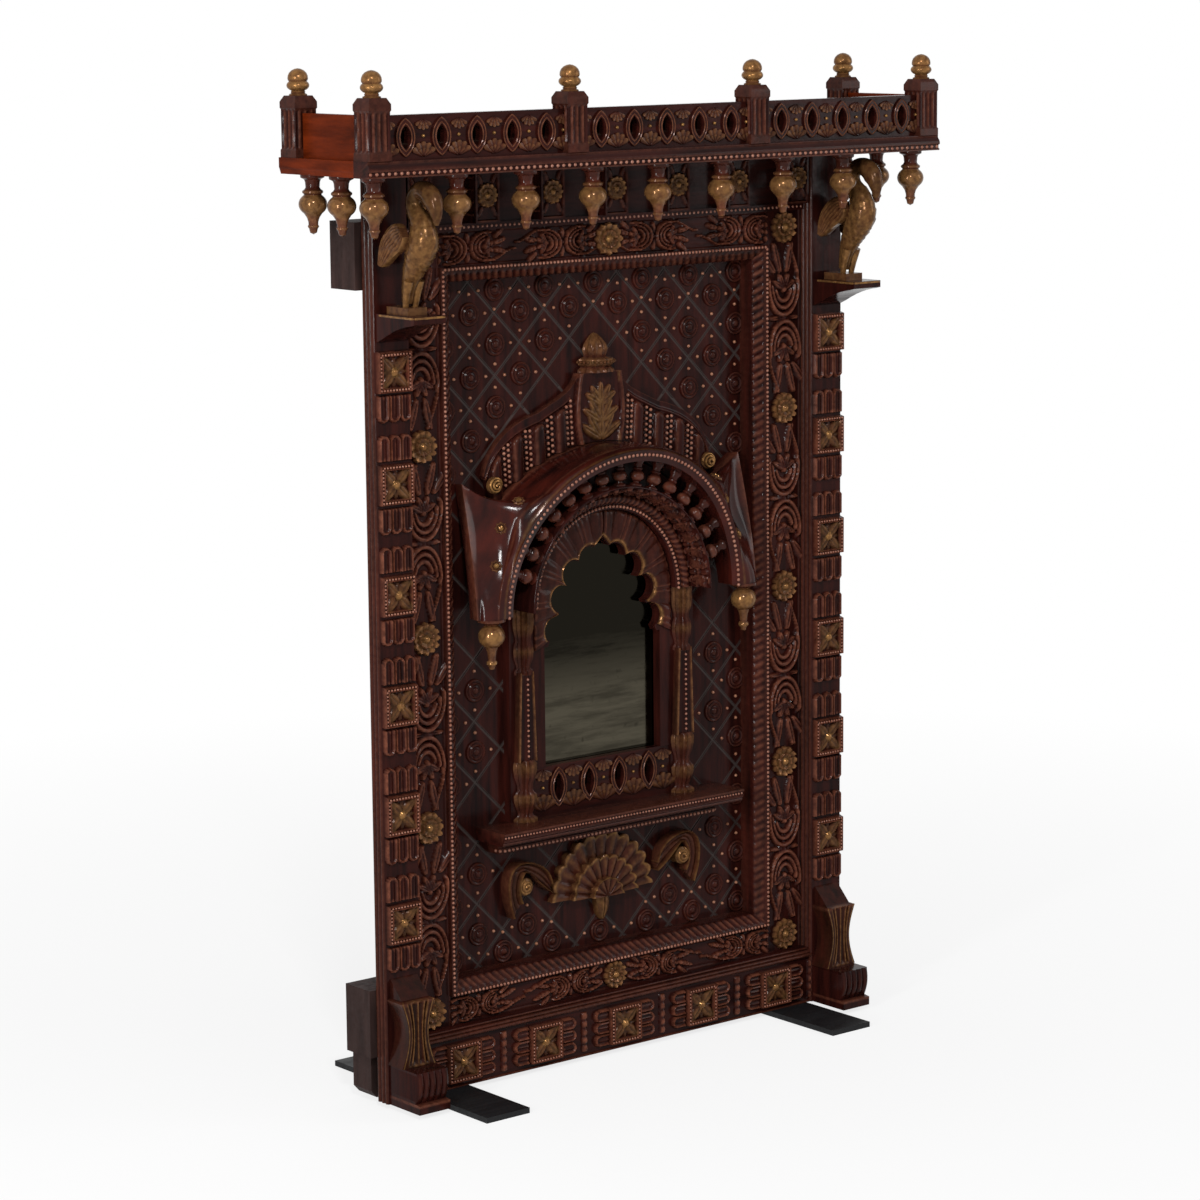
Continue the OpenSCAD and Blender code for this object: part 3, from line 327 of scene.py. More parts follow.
def rubbed(height, reach=3, drop=1.5):
    """Where a cloth would rub: higher than what is round it."""
    return np.clip((height - blur(height, reach)) / drop - 0.22, 0, 1)


def flower_square(x, z, width, height):
    """A square boss: a border for beads round a sunk flower of four leaves. Gives height and gilding."""
    half = width / 2
    border = width * BOSS_BORDER
    field = half - border
    eye_radius = width * 0.115
    far = np.maximum(np.abs(x), np.abs(z))
    inside = far < half
    out = np.where(inside, height * 0.3, 0)
    seat = np.where(np.abs(far - half + border / 2) < border * 0.26, 0.72, 1.0)
    out = np.where(inside & (far > field), height * seat, out)
    leaves = np.zeros_like(x)
    for angle in (0, 90, 180, 270):
        broad = petal(x, z, angle + 45, width * 0.07, field * 1.22, width * 0.15, height * 0.5)
        narrow = petal(x, z, angle, width * 0.08, field * 0.8, width * 0.07, height * 0.25)
        leaves = np.maximum(leaves, np.maximum(broad, narrow))
    out = np.where(far < field, out + leaves, out)
    r = np.hypot(x, z)
    out = np.where(r < eye_radius, height * 0.35 + ridge(r, eye_radius, height * 0.72), out)
    gilt = np.where(r < eye_radius, 0.95, np.clip(leaves / height, 0, 1) * 0.75)
    return out, gilt


def tongue_set(x, z, pitch, length, height):
    """Three tongues side by side that hang from z = 0, with raised rims."""
    column = np.clip(np.round(x / pitch), -1, 1)
    u = x - column * pitch
    half = pitch / 2 - 0.6
    inner = np.where(z > half - length, half - np.abs(u), half - np.hypot(u, z + length - half))
    rim = 0.5 + 0.5 * bell(inner - 1.7, 1.5)
    rib = 0.22 * bell(u, 1.5) * step(3.5, 5.5, inner)
    return np.where((inner > 0) & (z < 0), height * (rim + rib), 0)


def rosette_relief(x, z, radius, height):
    """A round flower with twelve petals and an eye. Gives height and gilding."""
    r = np.hypot(x, z)
    a = np.arctan2(z, x)
    eye = radius * 0.24
    heart = radius * 0.56
    lobe = np.abs(np.cos(6 * a))
    edge = radius * (0.87 + 0.13 * lobe)
    outer = height * (0.42 + 0.45 * np.clip(r / edge, 0, 1) ** 2) * (0.62 + 0.38 * lobe ** 0.6)
    inner = height * (0.6 + 0.38 * (r / heart) ** 2) * (0.72 + 0.28 * np.abs(np.sin(6 * a)) ** 0.6)
    out = np.where(r < edge, outer, 0)
    out = np.where(r < heart, inner, out)
    out = np.where(r < eye, height * 0.55 + ridge(r, eye, height * 0.6), out)
    gilt = np.where(r < edge, 0.35 + 0.45 * step(0.6, 1.0, r / edge) * lobe, 0)
    gilt = np.where(r < eye, 0.95, gilt)
    return out, gilt


def vine_relief(s, t, length, half, height):
    """Two leaf scrolls back to back between two rosettes that stand at s = -length / 2 and length / 2."""
    away = np.abs(s)
    side = np.where(s < 0, -t, t)
    radius = half - 3.0
    centre = min(radius * 1.7, length * 0.22)
    stretch = (centre - 5) / radius
    ds = away - centre
    bent = np.where(ds < 0, ds / stretch, ds)
    r = np.hypot(bent, side)
    a = np.degrees(np.arctan2(side, -bent))
    out = np.zeros_like(s)
    for k in range(3):
        window = step(122 - 16 * k, 100 - 16 * k, np.abs(a))
        path = radius * (1 - 0.23 * k) - 0.05 * radius * a / 90
        out = np.maximum(out, ridge(r - path, 0.105 * radius, height * (1 - 0.1 * k)) * window)
    for angle in (-62, -22, 22, 62):
        leaf = petal(ds + radius * 0.2, side, angle, 1.0, 0.78 * radius, 0.2 * radius, height * 0.8)
        out = np.maximum(out, leaf)
    out = np.maximum(out, ridge(np.hypot(ds + radius * 0.25, side), 0.16 * radius, height))
    run = length / 2 - centre
    fall = radius * (0.96 - 0.75 * step(0.1, 0.95, ds / run))
    out = np.maximum(out, ridge(side - fall, 1.9, height * 0.75) * step(-2, 2, ds))
    blade = run - radius * 0.6 - 16
    for angle, lift in ((-16, 0.0), (12, -0.45), (-40, 0.35)):
        leaf = petal(ds - radius * 0.62, side + radius * (0.25 + lift), angle, 0.0, blade, radius * 0.24,
                     height * 0.72)
        out = np.maximum(out, leaf)
    out = np.maximum(out, ridge(np.hypot(away, side), 4.0, height * 0.8))
    for angle in (90, -90):
        out = np.maximum(out, petal(away, side, angle, 4.0, half - 7, 4.5, height * 0.7))
    return out


# Pieces in the scene

def as_mesh(name, part, finish, sharp):
    """A mesh of a form, with its normals outwards and its two marks as attributes."""
    mesh = bpy.data.meshes.new(name)
    mesh.from_pydata((part["v"] * MM).tolist(), [], part["f"])
    for key in ("rub", "gilt"):
        layer = mesh.attributes.new(key, "FLOAT", "POINT")
        layer.data.foreach_set("value", part[key].astype(np.float32))
    work = bmesh.new()
    work.from_mesh(mesh)
    bmesh.ops.recalc_face_normals(work, faces=work.faces)
    work.to_mesh(mesh)
    work.free()
    mesh.materials.append(finishes()[finish])
    mesh.shade_smooth()
    mesh.set_sharp_from_angle(angle=math.radians(sharp))
    return mesh


def settle(obj, nodes):
    """Fix a finished piece to the frame."""
    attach(obj, "root")
    if nodes:
        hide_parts(*nodes)


def add_object(name, data):
    obj = bpy.data.objects.new(name, data)
    bpy.context.scene.collection.objects.link(obj)
    return obj


def add_piece(name, part, finish, nodes=(), sharp=38.0):
    settle(add_object(name, as_mesh(name, part, finish, sharp)), nodes)


def add_pair(name, part, finish, node):
    """A piece on the right and its mirror image on the left, each in place of the solid of its side."""
    add_piece(name + "_right", part, finish, [node + "_right"])
    add_piece(name + "_left", mirrored(part), finish, [node + "_left"])


def paint(finish, *nodes):
    """Give solids that stay as they are a finish."""
    for node in nodes:
        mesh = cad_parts[node].data
        mesh.materials.clear()
        mesh.materials.append(finishes()[finish])


def wire(tree, *links):
    """Link nodes. A link is a node, its output, another node and its input."""
    for first, output, second, socket in links:
        tree.links.new(first.outputs[output], second.inputs[socket])


def copying_tree(name, sizes):
    """A node group, with inputs for its sizes, that makes copies on points real and gives them a finish."""
    tree = bpy.data.node_groups.new(name, "GeometryNodeTree")
    for label, kind in (("Geometry", "Geometry"),) + sizes + (("Finish", "Material"),):
        tree.interface.new_socket(label, in_out="INPUT", socket_type="NodeSocket" + kind)
    tree.interface.new_socket("Geometry", in_out="OUTPUT", socket_type="NodeSocketGeometry")
    make = tree.nodes.new
    source, result = make("NodeGroupInput"), make("NodeGroupOutput")
    copies = make("GeometryNodeInstanceOnPoints")
    real, finish = make("GeometryNodeRealizeInstances"), make("GeometryNodeSetMaterial")
    wire(tree,
         (copies, "Instances", real, "Geometry"),
         (real, "Geometry", finish, "Geometry"),
         (source, "Finish", finish, "Material"),
         (finish, "Geometry", result, "Geometry"))
    return tree, source, copies


def copies_tree():
    """Nodes that set a template on every point, turned and sized by the point's own marks."""
    name = "Set out copies"
    if name in bpy.data.node_groups:
        return bpy.data.node_groups[name]
    tree, source, copies = copying_tree(name, (("Template", "Object"), ("Size", "Float")))
    make = tree.nodes.new
    template, euler = make("GeometryNodeObjectInfo"), make("FunctionNodeEulerToRotation")
    turn, size = make("GeometryNodeInputNamedAttribute"), make("GeometryNodeInputNamedAttribute")
    turn.data_type = "FLOAT_VECTOR"
    turn.inputs["Name"].default_value = "turn"
    size.data_type = "FLOAT"
    size.inputs["Name"].default_value = "size"
    times = make("ShaderNodeMath")
    times.operation = "MULTIPLY"
    wire(tree,
         (source, "Template", template, "Object"),
         (source, "Geometry", copies, "Points"),
         (template, "Geometry", copies, "Instance"),
         (turn, "Attribute", euler, "Euler"),
         (euler, "Rotation", copies, "Rotation"),
         (size, "Attribute", times, 0),
         (source, "Size", times, 1),
         (times, 0, copies, "Scale"))
    return tree


def beads_tree():
    """Nodes that thread round beads along lines at an even pitch."""
    name = "Thread beads"
    if name in bpy.data.node_groups:
        return bpy.data.node_groups[name]
    tree, source, copies = copying_tree(name, (("Pitch", "Float"), ("Diameter", "Float")))
    make = tree.nodes.new
    curve, even = make("GeometryNodeMeshToCurve"), make("GeometryNodeResampleCurve")
    even.mode = "LENGTH"
    ball, smooth = make("GeometryNodeMeshUVSphere"), make("GeometryNodeSetShadeSmooth")
    ball.inputs["Segments"].default_value = 7
    ball.inputs["Rings"].default_value = 5
    half = make("ShaderNodeMath")
    half.operation = "MULTIPLY"
    half.inputs[1].default_value = 0.5
    wire(tree,
         (source, "Geometry", curve, "Mesh"),
         (curve, "Curve", even, "Curve"),
         (source, "Pitch", even, "Length"),
         (source, "Diameter", half, 0),
         (half, 0, ball, "Radius"),
         (ball, "Mesh", smooth, "Geometry"),
         (even, "Curve", copies, "Points"),
         (smooth, "Geometry", copies, "Instance"))
    return tree


def grow(name, seed, tree, values, nodes=()):
    """Run a node group on a seed mesh and keep its result as a plain mesh."""
    holder = add_object(name + "_seed", seed)
    modifier = holder.modifiers.new("Grow", "NODES")
    modifier.node_group = tree
    for item in tree.interface.items_tree:
        if item.in_out == "INPUT" and item.name in values:
            modifier[item.identifier] = values[item.name]
    holder.update_tag()
    depsgraph = bpy.context.evaluated_depsgraph_get()
    mesh = bpy.data.meshes.new_from_object(holder.evaluated_get(depsgraph), depsgraph=depsgraph)
    bpy.data.objects.remove(holder)
    bpy.data.meshes.remove(seed)
    if len(mesh.polygons) == 0:
        raise RuntimeError(name + " came out empty")
    mesh.name = name
    settle(add_object(name, mesh), nodes)


def set_out(name, part, places, finish, nodes=(), sharp=38.0):
    """Copies of one form. A place is a point, a turn in radians and a size."""
    shape = as_mesh(name + "_template", part, finish, sharp)
    template = bpy.data.objects.new(name + "_template", shape)
    seed = bpy.data.meshes.new(name + "_points")
    seed.from_pydata([tuple(np.array(p) * MM) for p, _, _ in places], [], [])
    turn = seed.attributes.new("turn", "FLOAT_VECTOR", "POINT")
    turn.data.foreach_set("vector", np.array([t for _, t, _ in places], np.float32).ravel())
    size = seed.attributes.new("size", "FLOAT", "POINT")
    size.data.foreach_set("value", np.array([s for _, _, s in places], np.float32))
    values = {"Template": template, "Size": 1.0, "Finish": finishes()[finish]}
    grow(name, seed, copies_tree(), values, nodes)
    bpy.data.objects.remove(template)
    bpy.data.meshes.remove(shape)


def thread(name, lines, pitch, diameter, finish="bead_copper", closed=False):
    """Beads along lines of points, in millimetres."""
    points, edges = [], []
    for line in lines:
        start = len(points)
        points += [tuple(np.array(p) * MM) for p in line]
        edges += [(start + k, start + k + 1) for k in range(len(line) - 1)]
        if closed:
            edges.append((len(points) - 1, start))
    seed = bpy.data.meshes.new(name + "_line")
    seed.from_pydata(points, edges, [])
    values = {"Pitch": pitch * MM, "Diameter": diameter * MM, "Finish": finishes()[finish]}
    grow(name, seed, beads_tree(), values)


# Finishes

def new_finish(name):
    """A material, its node tree and its surface shader."""
    material = bpy.data.materials.new(name)
    material.use_nodes = True
    tree = material.node_tree
    return material, tree, tree.nodes["Principled BSDF"]


def feed(tree, socket, value):
    """Link a socket to another node's output, or set it to a plain value."""
    if hasattr(value, "is_output"):
        tree.links.new(value, socket)
    else:
        socket.default_value = value


def object_axes(tree):
    """The object's own X, Y and Z, as sockets by name."""
    place = tree.nodes.new("ShaderNodeTexCoord")
    split = tree.nodes.new("ShaderNodeSeparateXYZ")
    tree.links.new(place.outputs["Object"], split.inputs[0])
    return split.outputs


def add_noise(tree, scale, detail, stretch, rough=0.55):
    place = tree.nodes.new("ShaderNodeTexCoord")
    mapping = tree.nodes.new("ShaderNodeMapping")
    mapping.inputs["Scale"].default_value = stretch
    noise = tree.nodes.new("ShaderNodeTexNoise")
    noise.inputs["Scale"].default_value = scale
    noise.inputs["Detail"].default_value = detail
    noise.inputs["Roughness"].default_value = rough
    tree.links.new(place.outputs["Object"], mapping.inputs["Vector"])
    tree.links.new(mapping.outputs["Vector"], noise.inputs["Vector"])
    return noise.outputs["Fac"]


def add_ramp(tree, value, stops):
    ramp = tree.nodes.new("ShaderNodeValToRGB")
    elements = ramp.color_ramp.elements
    while len(elements) < len(stops):
        elements.new(0.5)
    for element, (at, colour) in zip(elements, stops):
        element.position = at
        element.color = colour
    tree.links.new(value, ramp.inputs["Fac"])
    return ramp.outputs["Color"]


def add_mix(tree, share, first, second):
    mix = tree.nodes.new("ShaderNodeMix")
    mix.data_type = "RGBA"
    tree.links.new(share, mix.inputs["Factor"])
    feed(tree, mix.inputs[6], first)
    feed(tree, mix.inputs[7], second)
    return mix.outputs[2]


def add_math(tree, operation, first, second, clamp=False):
    node = tree.nodes.new("ShaderNodeMath")
    node.operation = operation
    node.use_clamp = clamp
    feed(tree, node.inputs[0], first)
    feed(tree, node.inputs[1], second)
    return node.outputs[0]


def add_mark(tree, name):
    node = tree.nodes.new("ShaderNodeAttribute")
    node.attribute_name = name
    return node.outputs["Fac"]


def add_bump(tree, shader, height, strength, distance):
    bump = tree.nodes.new("ShaderNodeBump")
    bump.inputs["Strength"].default_value = strength
    bump.inputs["Distance"].default_value = distance
    tree.links.new(height, bump.inputs["Height"])
    tree.links.new(bump.outputs["Normal"], shader.inputs["Normal"])


def grey(value):
    return (value, value, value, 1)


def groove_tint(tree, wood):
    """Grey wax left in the diagonal grooves of the lattice panel."""
    lo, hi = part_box("lattice_panel")
    axes = object_axes(tree)
    across = add_math(tree, "DIVIDE", axes["X"], JHAROKHA_OT_lattice.step_x * MM)
    up = add_math(tree, "SUBTRACT", axes["Z"], (lo[2] + hi[2]) / 2)
    up = add_math(tree, "DIVIDE", up, JHAROKHA_OT_lattice.step_z * MM)
    lines = [add_math(tree, "PINGPONG", add_math(tree, way, across, up), 0.5) for way in ("ADD", "SUBTRACT")]
    near = add_math(tree, "MINIMUM", lines[0], lines[1])
    mask = add_ramp(tree, near, [(0.02, grey(0.6)), (0.045, grey(0))])
    mask = add_math(tree, "MULTIPLY", mask, add_math(tree, "LESS_THAN", axes["Y"], lo[1] + 6 * MM))
    return add_mix(tree, mask, wood, (0.06, 0.05, 0.046, 1))


def lacquer(name, stretch, dark, light, gloss=(0.1, 0.27), base_gilt=0.0, sheen=0.065, grooved=False):
    """Stained and waxed wood with copper edges and gilding that is worn in patches."""
    finish = bpy.context.scene.jharokha_finish
    _, tree, shader = new_finish(name)
    grain = add_noise(tree, 26.0, 7.0, stretch)
    cloud = add_noise(tree, 6.0, 3.0, (1, 1, 1))
    wear = add_noise(tree, 130.0, 4.0, (1, 1, 1), 0.6)
    wood = add_ramp(tree, grain, [(0.3, dark), (0.72, light)])
    wood = add_mix(tree, add_ramp(tree, cloud, [(0.35, grey(0)), (0.8, grey(0.55))]), wood, dark)
    patch = add_ramp(tree, wear, [(0.3, grey(0.2)), (0.66, grey(0.75))])
    rub = add_math(tree, "MULTIPLY", add_mark(tree, "rub"), patch)
    wood = groove_tint(tree, wood) if grooved else wood
    wood = add_mix(tree, rub, wood, tuple(finish.copper))
    worn = add_ramp(tree, wear, [(0.12, tuple(finish.umber)), (0.6, tuple(finish.gold))])
    leaf = add_ramp(tree, wear, [(0.2, grey(0.5)), (0.7, grey(0.85))])
    gilt = add_math(tree, "MULTIPLY", add_mark(tree, "gilt"), leaf)
    gilt = add_math(tree, "ADD", gilt, base_gilt, True) if base_gilt else gilt
    tree.links.new(add_mix(tree, gilt, wood, worn), shader.inputs["Base Color"])
    smear = add_ramp(tree, wear, [(0.25, grey(gloss[0])), (0.75, grey(gloss[1]))])
    tree.links.new(smear, shader.inputs["Roughness"])
    tree.links.new(add_math(tree, "MULTIPLY", gilt, 0.6), shader.inputs["Metallic"])
    shader.inputs["Specular IOR Level"].default_value = sheen
    rough = add_math(tree, "ADD", add_math(tree, "MULTIPLY", wear, 0.35), grain)
    add_bump(tree, shader, rough, 0.22, 0.0012)


def toned(shade, factor):
    return tuple(c * factor for c in shade)


def foot_steel(paint_colour):
    """Black painted steel with fine scratches."""
    _, tree, shader = new_finish("foot_steel")
    mottle = add_noise(tree, 40.0, 6.0, (1, 1, 1))
    scratch = add_noise(tree, 30.0, 5.0, (0.3, 6.0, 1.0), 0.7)
    tint = add_ramp(tree, scratch, [(0.45, paint_colour), (0.8, toned(paint_colour, 2.2))])
    tree.links.new(tint, shader.inputs["Base Color"])
    tree.links.new(add_ramp(tree, mottle, [(0.3, grey(0.38)), (0.7, grey(0.6))]), shader.inputs["Roughness"])
    shader.inputs["Specular IOR Level"].default_value = 0.16
    add_bump(tree, shader, mottle, 0.12, 0.0006)


def old_mirror(glass):
    """Spotted mirror glass, dark in its upper part and mottled below. Its dark olive tint is partly the
    tarnish of the old mirror and partly a painted reflection of dark surroundings.
    """
    _, tree, shader = new_finish("old_mirror")
    streak = add_noise(tree, 24.0, 8.0, (0.35, 1.0, 3.0), 0.68)
    spots = add_noise(tree, 60.0, 3.0, (1, 1, 1))
    dim = toned(glass[:3], 0.5) + (1,)
    deep = toned(glass[:3], 0.16) + (1,)
    lo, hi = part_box("mirror_glass")
    fall = add_math(tree, "SUBTRACT", object_axes(tree)["Z"], lo[2])
    fall = add_math(tree, "DIVIDE", fall, hi[2] - lo[2])
    mottled = add_ramp(tree, streak, [(0.36, dim), (0.6, glass)])
    level = add_math(tree, "ADD", fall, add_math(tree, "MULTIPLY", streak, 0.3))
    tint = add_mix(tree, add_ramp(tree, level, [(0.56, grey(0)), (0.74, grey(1))]), mottled, deep)
    tint = add_mix(tree, add_ramp(tree, spots, [(0.62, grey(0)), (0.75, grey(0.5))]), tint, deep)
    tree.links.new(tint, shader.inputs["Base Color"])
    tree.links.new(add_ramp(tree, streak, [(0.3, grey(0.06)), (0.7, grey(0.2))]), shader.inputs["Roughness"])
    shader.inputs["Metallic"].default_value = 1.0
    add_bump(tree, shader, streak, 0.05, 0.001)


def finishes():
    """All the finishes, made once."""
    if "wood_upright" in bpy.data.materials:
        return {m.name: m for m in bpy.data.materials}
    f = bpy.context.scene.jharokha_finish
    dark, light = tuple(f.wood_dark), tuple(f.wood_light)
    lacquer("wood_upright", (3.2, 3.2, 0.35), dark, light)
    lacquer("wood_across", (0.35, 3.2, 3.2), dark, light)
    lacquer("wood_lattice", (3.2, 3.2, 0.35), dark, light, grooved=True)
    red = tuple(min(1.0, c * k) for c, k in zip(light, (1.5, 1.25, 1.1, 1)))
    lacquer("wood_smooth", (0.6, 2.4, 0.6), dark, red, (0.07, 0.2), sheen=0.12)
    lacquer("wood_gilded", (2.0, 2.0, 2.0), tuple(f.umber), red, (0.16, 0.36), 0.18)
    pale = tuple(min(1.0, c * k) for c, k in zip(f.copper, (1.8, 2.5, 3.0, 1)))
    lacquer("bead_copper", (2.0, 2.0, 2.0), tuple(f.copper), pale, (0.2, 0.36), sheen=0.3)
    # The end panels' orange-red is partly their own red and partly painted light.
    red_panel = tuple(f.panel_red_and_painted_light)
    lacquer("red_panel", (0.5, 0.5, 3.0), toned(red_panel, 0.25), red_panel, (0.3, 0.48), sheen=0.03)
    lacquer("dark_back", (3.0, 3.0, 0.4), toned(f.back, 0.5), toned(f.back, 1.5), (0.5, 0.75), sheen=0.08)
    foot_steel(tuple(f.steel))
    old_mirror(tuple(f.glass))
    return {m.name: m for m in bpy.data.materials}


def carving():
    """The carving sizes in millimetres."""
    group = bpy.context.scene.jharokha_carving
    names = ("cell", "bead", "boss_bead", "pin", "rope_pitch", "leaf_height")
    return {name: getattr(group, name) / MM for name in names}


def field_grid(x0, x1, z0, z1, cell):
    """Even points over an upright rectangle."""
    nx = max(3, int(round((x1 - x0) / cell)) + 1)
    nz = max(3, int(round((z1 - z0) / cell)) + 1)
    return grid((x0, x1, nx), (z0, z1, nz))


def carved_board(x, z, height, y_ground, y_back, gilt):
    """A board with a carved front, out of a grid and its heights."""
    front = np.stack([x, y_ground - height, z], -1)
    return slab(front, y_back, rubbed(height), gilt)


class Piece:
    """What all operators of this add-on share."""
    bl_options = {"REGISTER", "UNDO"}


# Back frame and feet

class JHAROKHA_OT_back_frame(Piece, bpy.types.Operator):
    """Finish the steel bars and the rough wood behind the carving"""
    bl_idname = "jharokha.back_frame"
    bl_label = "Bars and back frame"

    def execute(self, context):
        paint("foot_steel", "foot_bar_left", "foot_bar_right")
        paint("dark_back", "heel_block_left", "heel_block_right", "sill_beam", "lintel_beam",
              "back_stile_left", "back_stile_right", "balcony_floor")
        paint("wood_lattice", "lattice_panel")
        paint("wood_upright", "window_board")
        # The mirror's colour is partly tarnish and partly a painted reflection.
        paint("old_mirror", "mirror_glass")
        return {"FINISHED"}


class JHAROKHA_OT_pilasters(Piece, bpy.types.Operator):
    """Carve both pilasters with their flower bosses and tongues"""
    bl_idname = "jharokha.pilasters"
    bl_label = "Pilasters"

    boss_count = 6
    boss_width = 60.0
    boss_edge = 2.25
    boss_height = 10.0
    first_boss = 265.3
    boss_pitch = 153.6
    tongue_length = 36.0
    gap = 2.0
    reeds = 3
    reed_depth = 2.5

    def execute(self, context):
        size = carving()
        lo, hi = node_box("pilaster_right")
        middle = (lo[0] + hi[0]) / 2
        y_ground = lo[1] + self.boss_height
        points = self.reeds * 5
        side_y = np.linspace(hi[1], y_ground, points + 1)
        swell = np.abs(np.sin(np.pi * np.arange(points + 1) * self.reeds / points))
        inner = (hi[0] - lo[0]) / 2 - self.reed_depth
        cell = size["cell"] * 1.1
        across = np.linspace(-inner, inner, int(2 * inner / cell) + 1)
        up = np.linspace(lo[2], hi[2], int((hi[2] - lo[2]) / cell) + 1)
        x, z = np.meshgrid(across, up, indexing="ij")
        height = np.zeros_like(x)
        gilt = np.zeros_like(x)
        places = [self.first_boss + i * self.boss_pitch for i in range(self.boss_count)]
        flower = self.boss_width - 2 * self.boss_edge
        root = self.boss_width / 2 + self.gap
        tongue = (TONGUE_PITCH, self.tongue_length, self.boss_height * TONGUE_SHARE)
        for i, at in enumerate(places):
            near = np.abs(up - at) < root + self.tongue_length + 4
            u, level = x[:, near], z[:, near]
            part, gold = flower_square(u, level - at, flower, self.boss_height)
            part = np.maximum(part, tongue_set(u, level - at + root, *tongue))
            if i < self.boss_count - 1:
                part = np.maximum(part, tongue_set(u, at + root - level, *tongue))
            height[:, near] = np.maximum(height[:, near], part)
            gilt[:, near] = np.maximum(gilt[:, near], gold)
        rub = rubbed(height, 3, 1.8)
        left = np.stack([-inner - self.reed_depth * swell, side_y], -1)[:-1]
        right = (left * [-1, 1])[::-1]
        reed_rub = 0.35 * swell[:-1]
        bare = np.zeros(len(left))
        rings, rubs, golds = [], [], []
        for k, level in enumerate(up):
            face = np.stack([across, y_ground - height[:, k]], -1)
            line = np.concatenate([left, face, right])
            rings.append(np.column_stack([line, np.full(len(line), level)]))
            rubs.append(np.concatenate([reed_rub, rub[:, k], reed_rub[::-1]]))
            golds.append(np.concatenate([bare, gilt[:, k], bare]))
        part = moved(loft(rings, rubs, golds), (middle, 0, 0))
        add_pair("pilaster_carving", part, "wood_upright", "pilaster")
        inset = (flower - flower * BOSS_BORDER) / 2
        y = y_ground - self.boss_height * 0.85
        lines = [rectangle(sign * middle, y, at, inset, inset) for sign in (-1, 1) for at in places]
        thread("pilaster_beads", lines, 5.2, size["boss_bead"], closed=True)
        return {"FINISHED"}


class JHAROKHA_OT_floral_bands(Piece, bpy.types.Operator):
    """Carve the four bands of leaf scrolls and rosettes round the field"""
    bl_idname = "jharokha.floral_bands"
    bl_label = "Floral bands"

    rosette = 23.0
    side_count = 4
    least_corner = 48.0
    ground = 14.0
    border_height = 1.4

    def execute(self, context):
        size = carving()
        high = size["leaf_height"]
        lo, hi = node_box("floral_band_right")
        y_ground = hi[1] - self.ground
        edge = (hi[0] - lo[0]) / 2
        cell = size["cell"] * 1.08
        x, z = field_grid(lo[0], hi[0], lo[2], hi[2], cell)
        t = x - (lo[0] + hi[0]) / 2
        low, top = node_box("floral_band_bottom"), node_box("floral_band_top")
        first = lo[2] + max(low[1][2] - low[0][2], self.least_corner) / 2
        last = hi[2] - max(top[1][2] - top[0][2], self.least_corner) / 2
        pitch = (last - first) / self.side_count
        number = np.clip(np.floor((z - first) / pitch), 0, self.side_count - 1)
        s = z - first - (number + 0.5) * pitch
        height = vine_relief(s, t, pitch, edge - 2, high)
        height *= step(pitch / 2 - self.rosette + 2, pitch / 2 - self.rosette - 2, np.abs(s))
        height = np.maximum(height, np.where(edge - np.abs(t) < 2.2, self.border_height, 0))
        gilt = np.zeros_like(height)
        for i in range(self.side_count + 1):
            off = z - first - i * pitch
            near = np.abs(off[0]) < self.rosette + 2
            flower, gold = rosette_relief(t[:, near], off[:, near], self.rosette, high + 2)
            height[:, near] = np.maximum(height[:, near], flower)
            gilt[:, near] = np.maximum(gilt[:, near], gold)
        part = carved_board(x, z, height, y_ground, hi[1], gilt)
        add_pair("floral_carving", part, "wood_upright", "floral_band")
        for name in ("bottom", "top"):
            lo, hi = node_box("floral_band_" + name)
            x, z = field_grid(lo[0], hi[0], lo[2], hi[2], cell)
            t = z - (lo[2] + hi[2]) / 2
            half = (hi[2] - lo[2]) / 2
            span = edge + hi[0]
            s = np.abs(x) % (span / 2) - span / 4
            height = vine_relief(s, t, span / 2, half - 1.5, high)
            height *= step(self.rosette - 2, self.rosette + 2, np.abs(x))
            height = np.maximum(height, np.where(half - np.abs(t) < 2.0, self.border_height, 0))
            flower, gold = rosette_relief(x, t, min(self.rosette, half - 1), high + 2)
            part = carved_board(x, z, np.maximum(height, flower), y_ground, hi[1], gold)
            add_piece("floral_carving_" + name, part, "wood_across", ["floral_band_" + name])
        return {"FINISHED"}


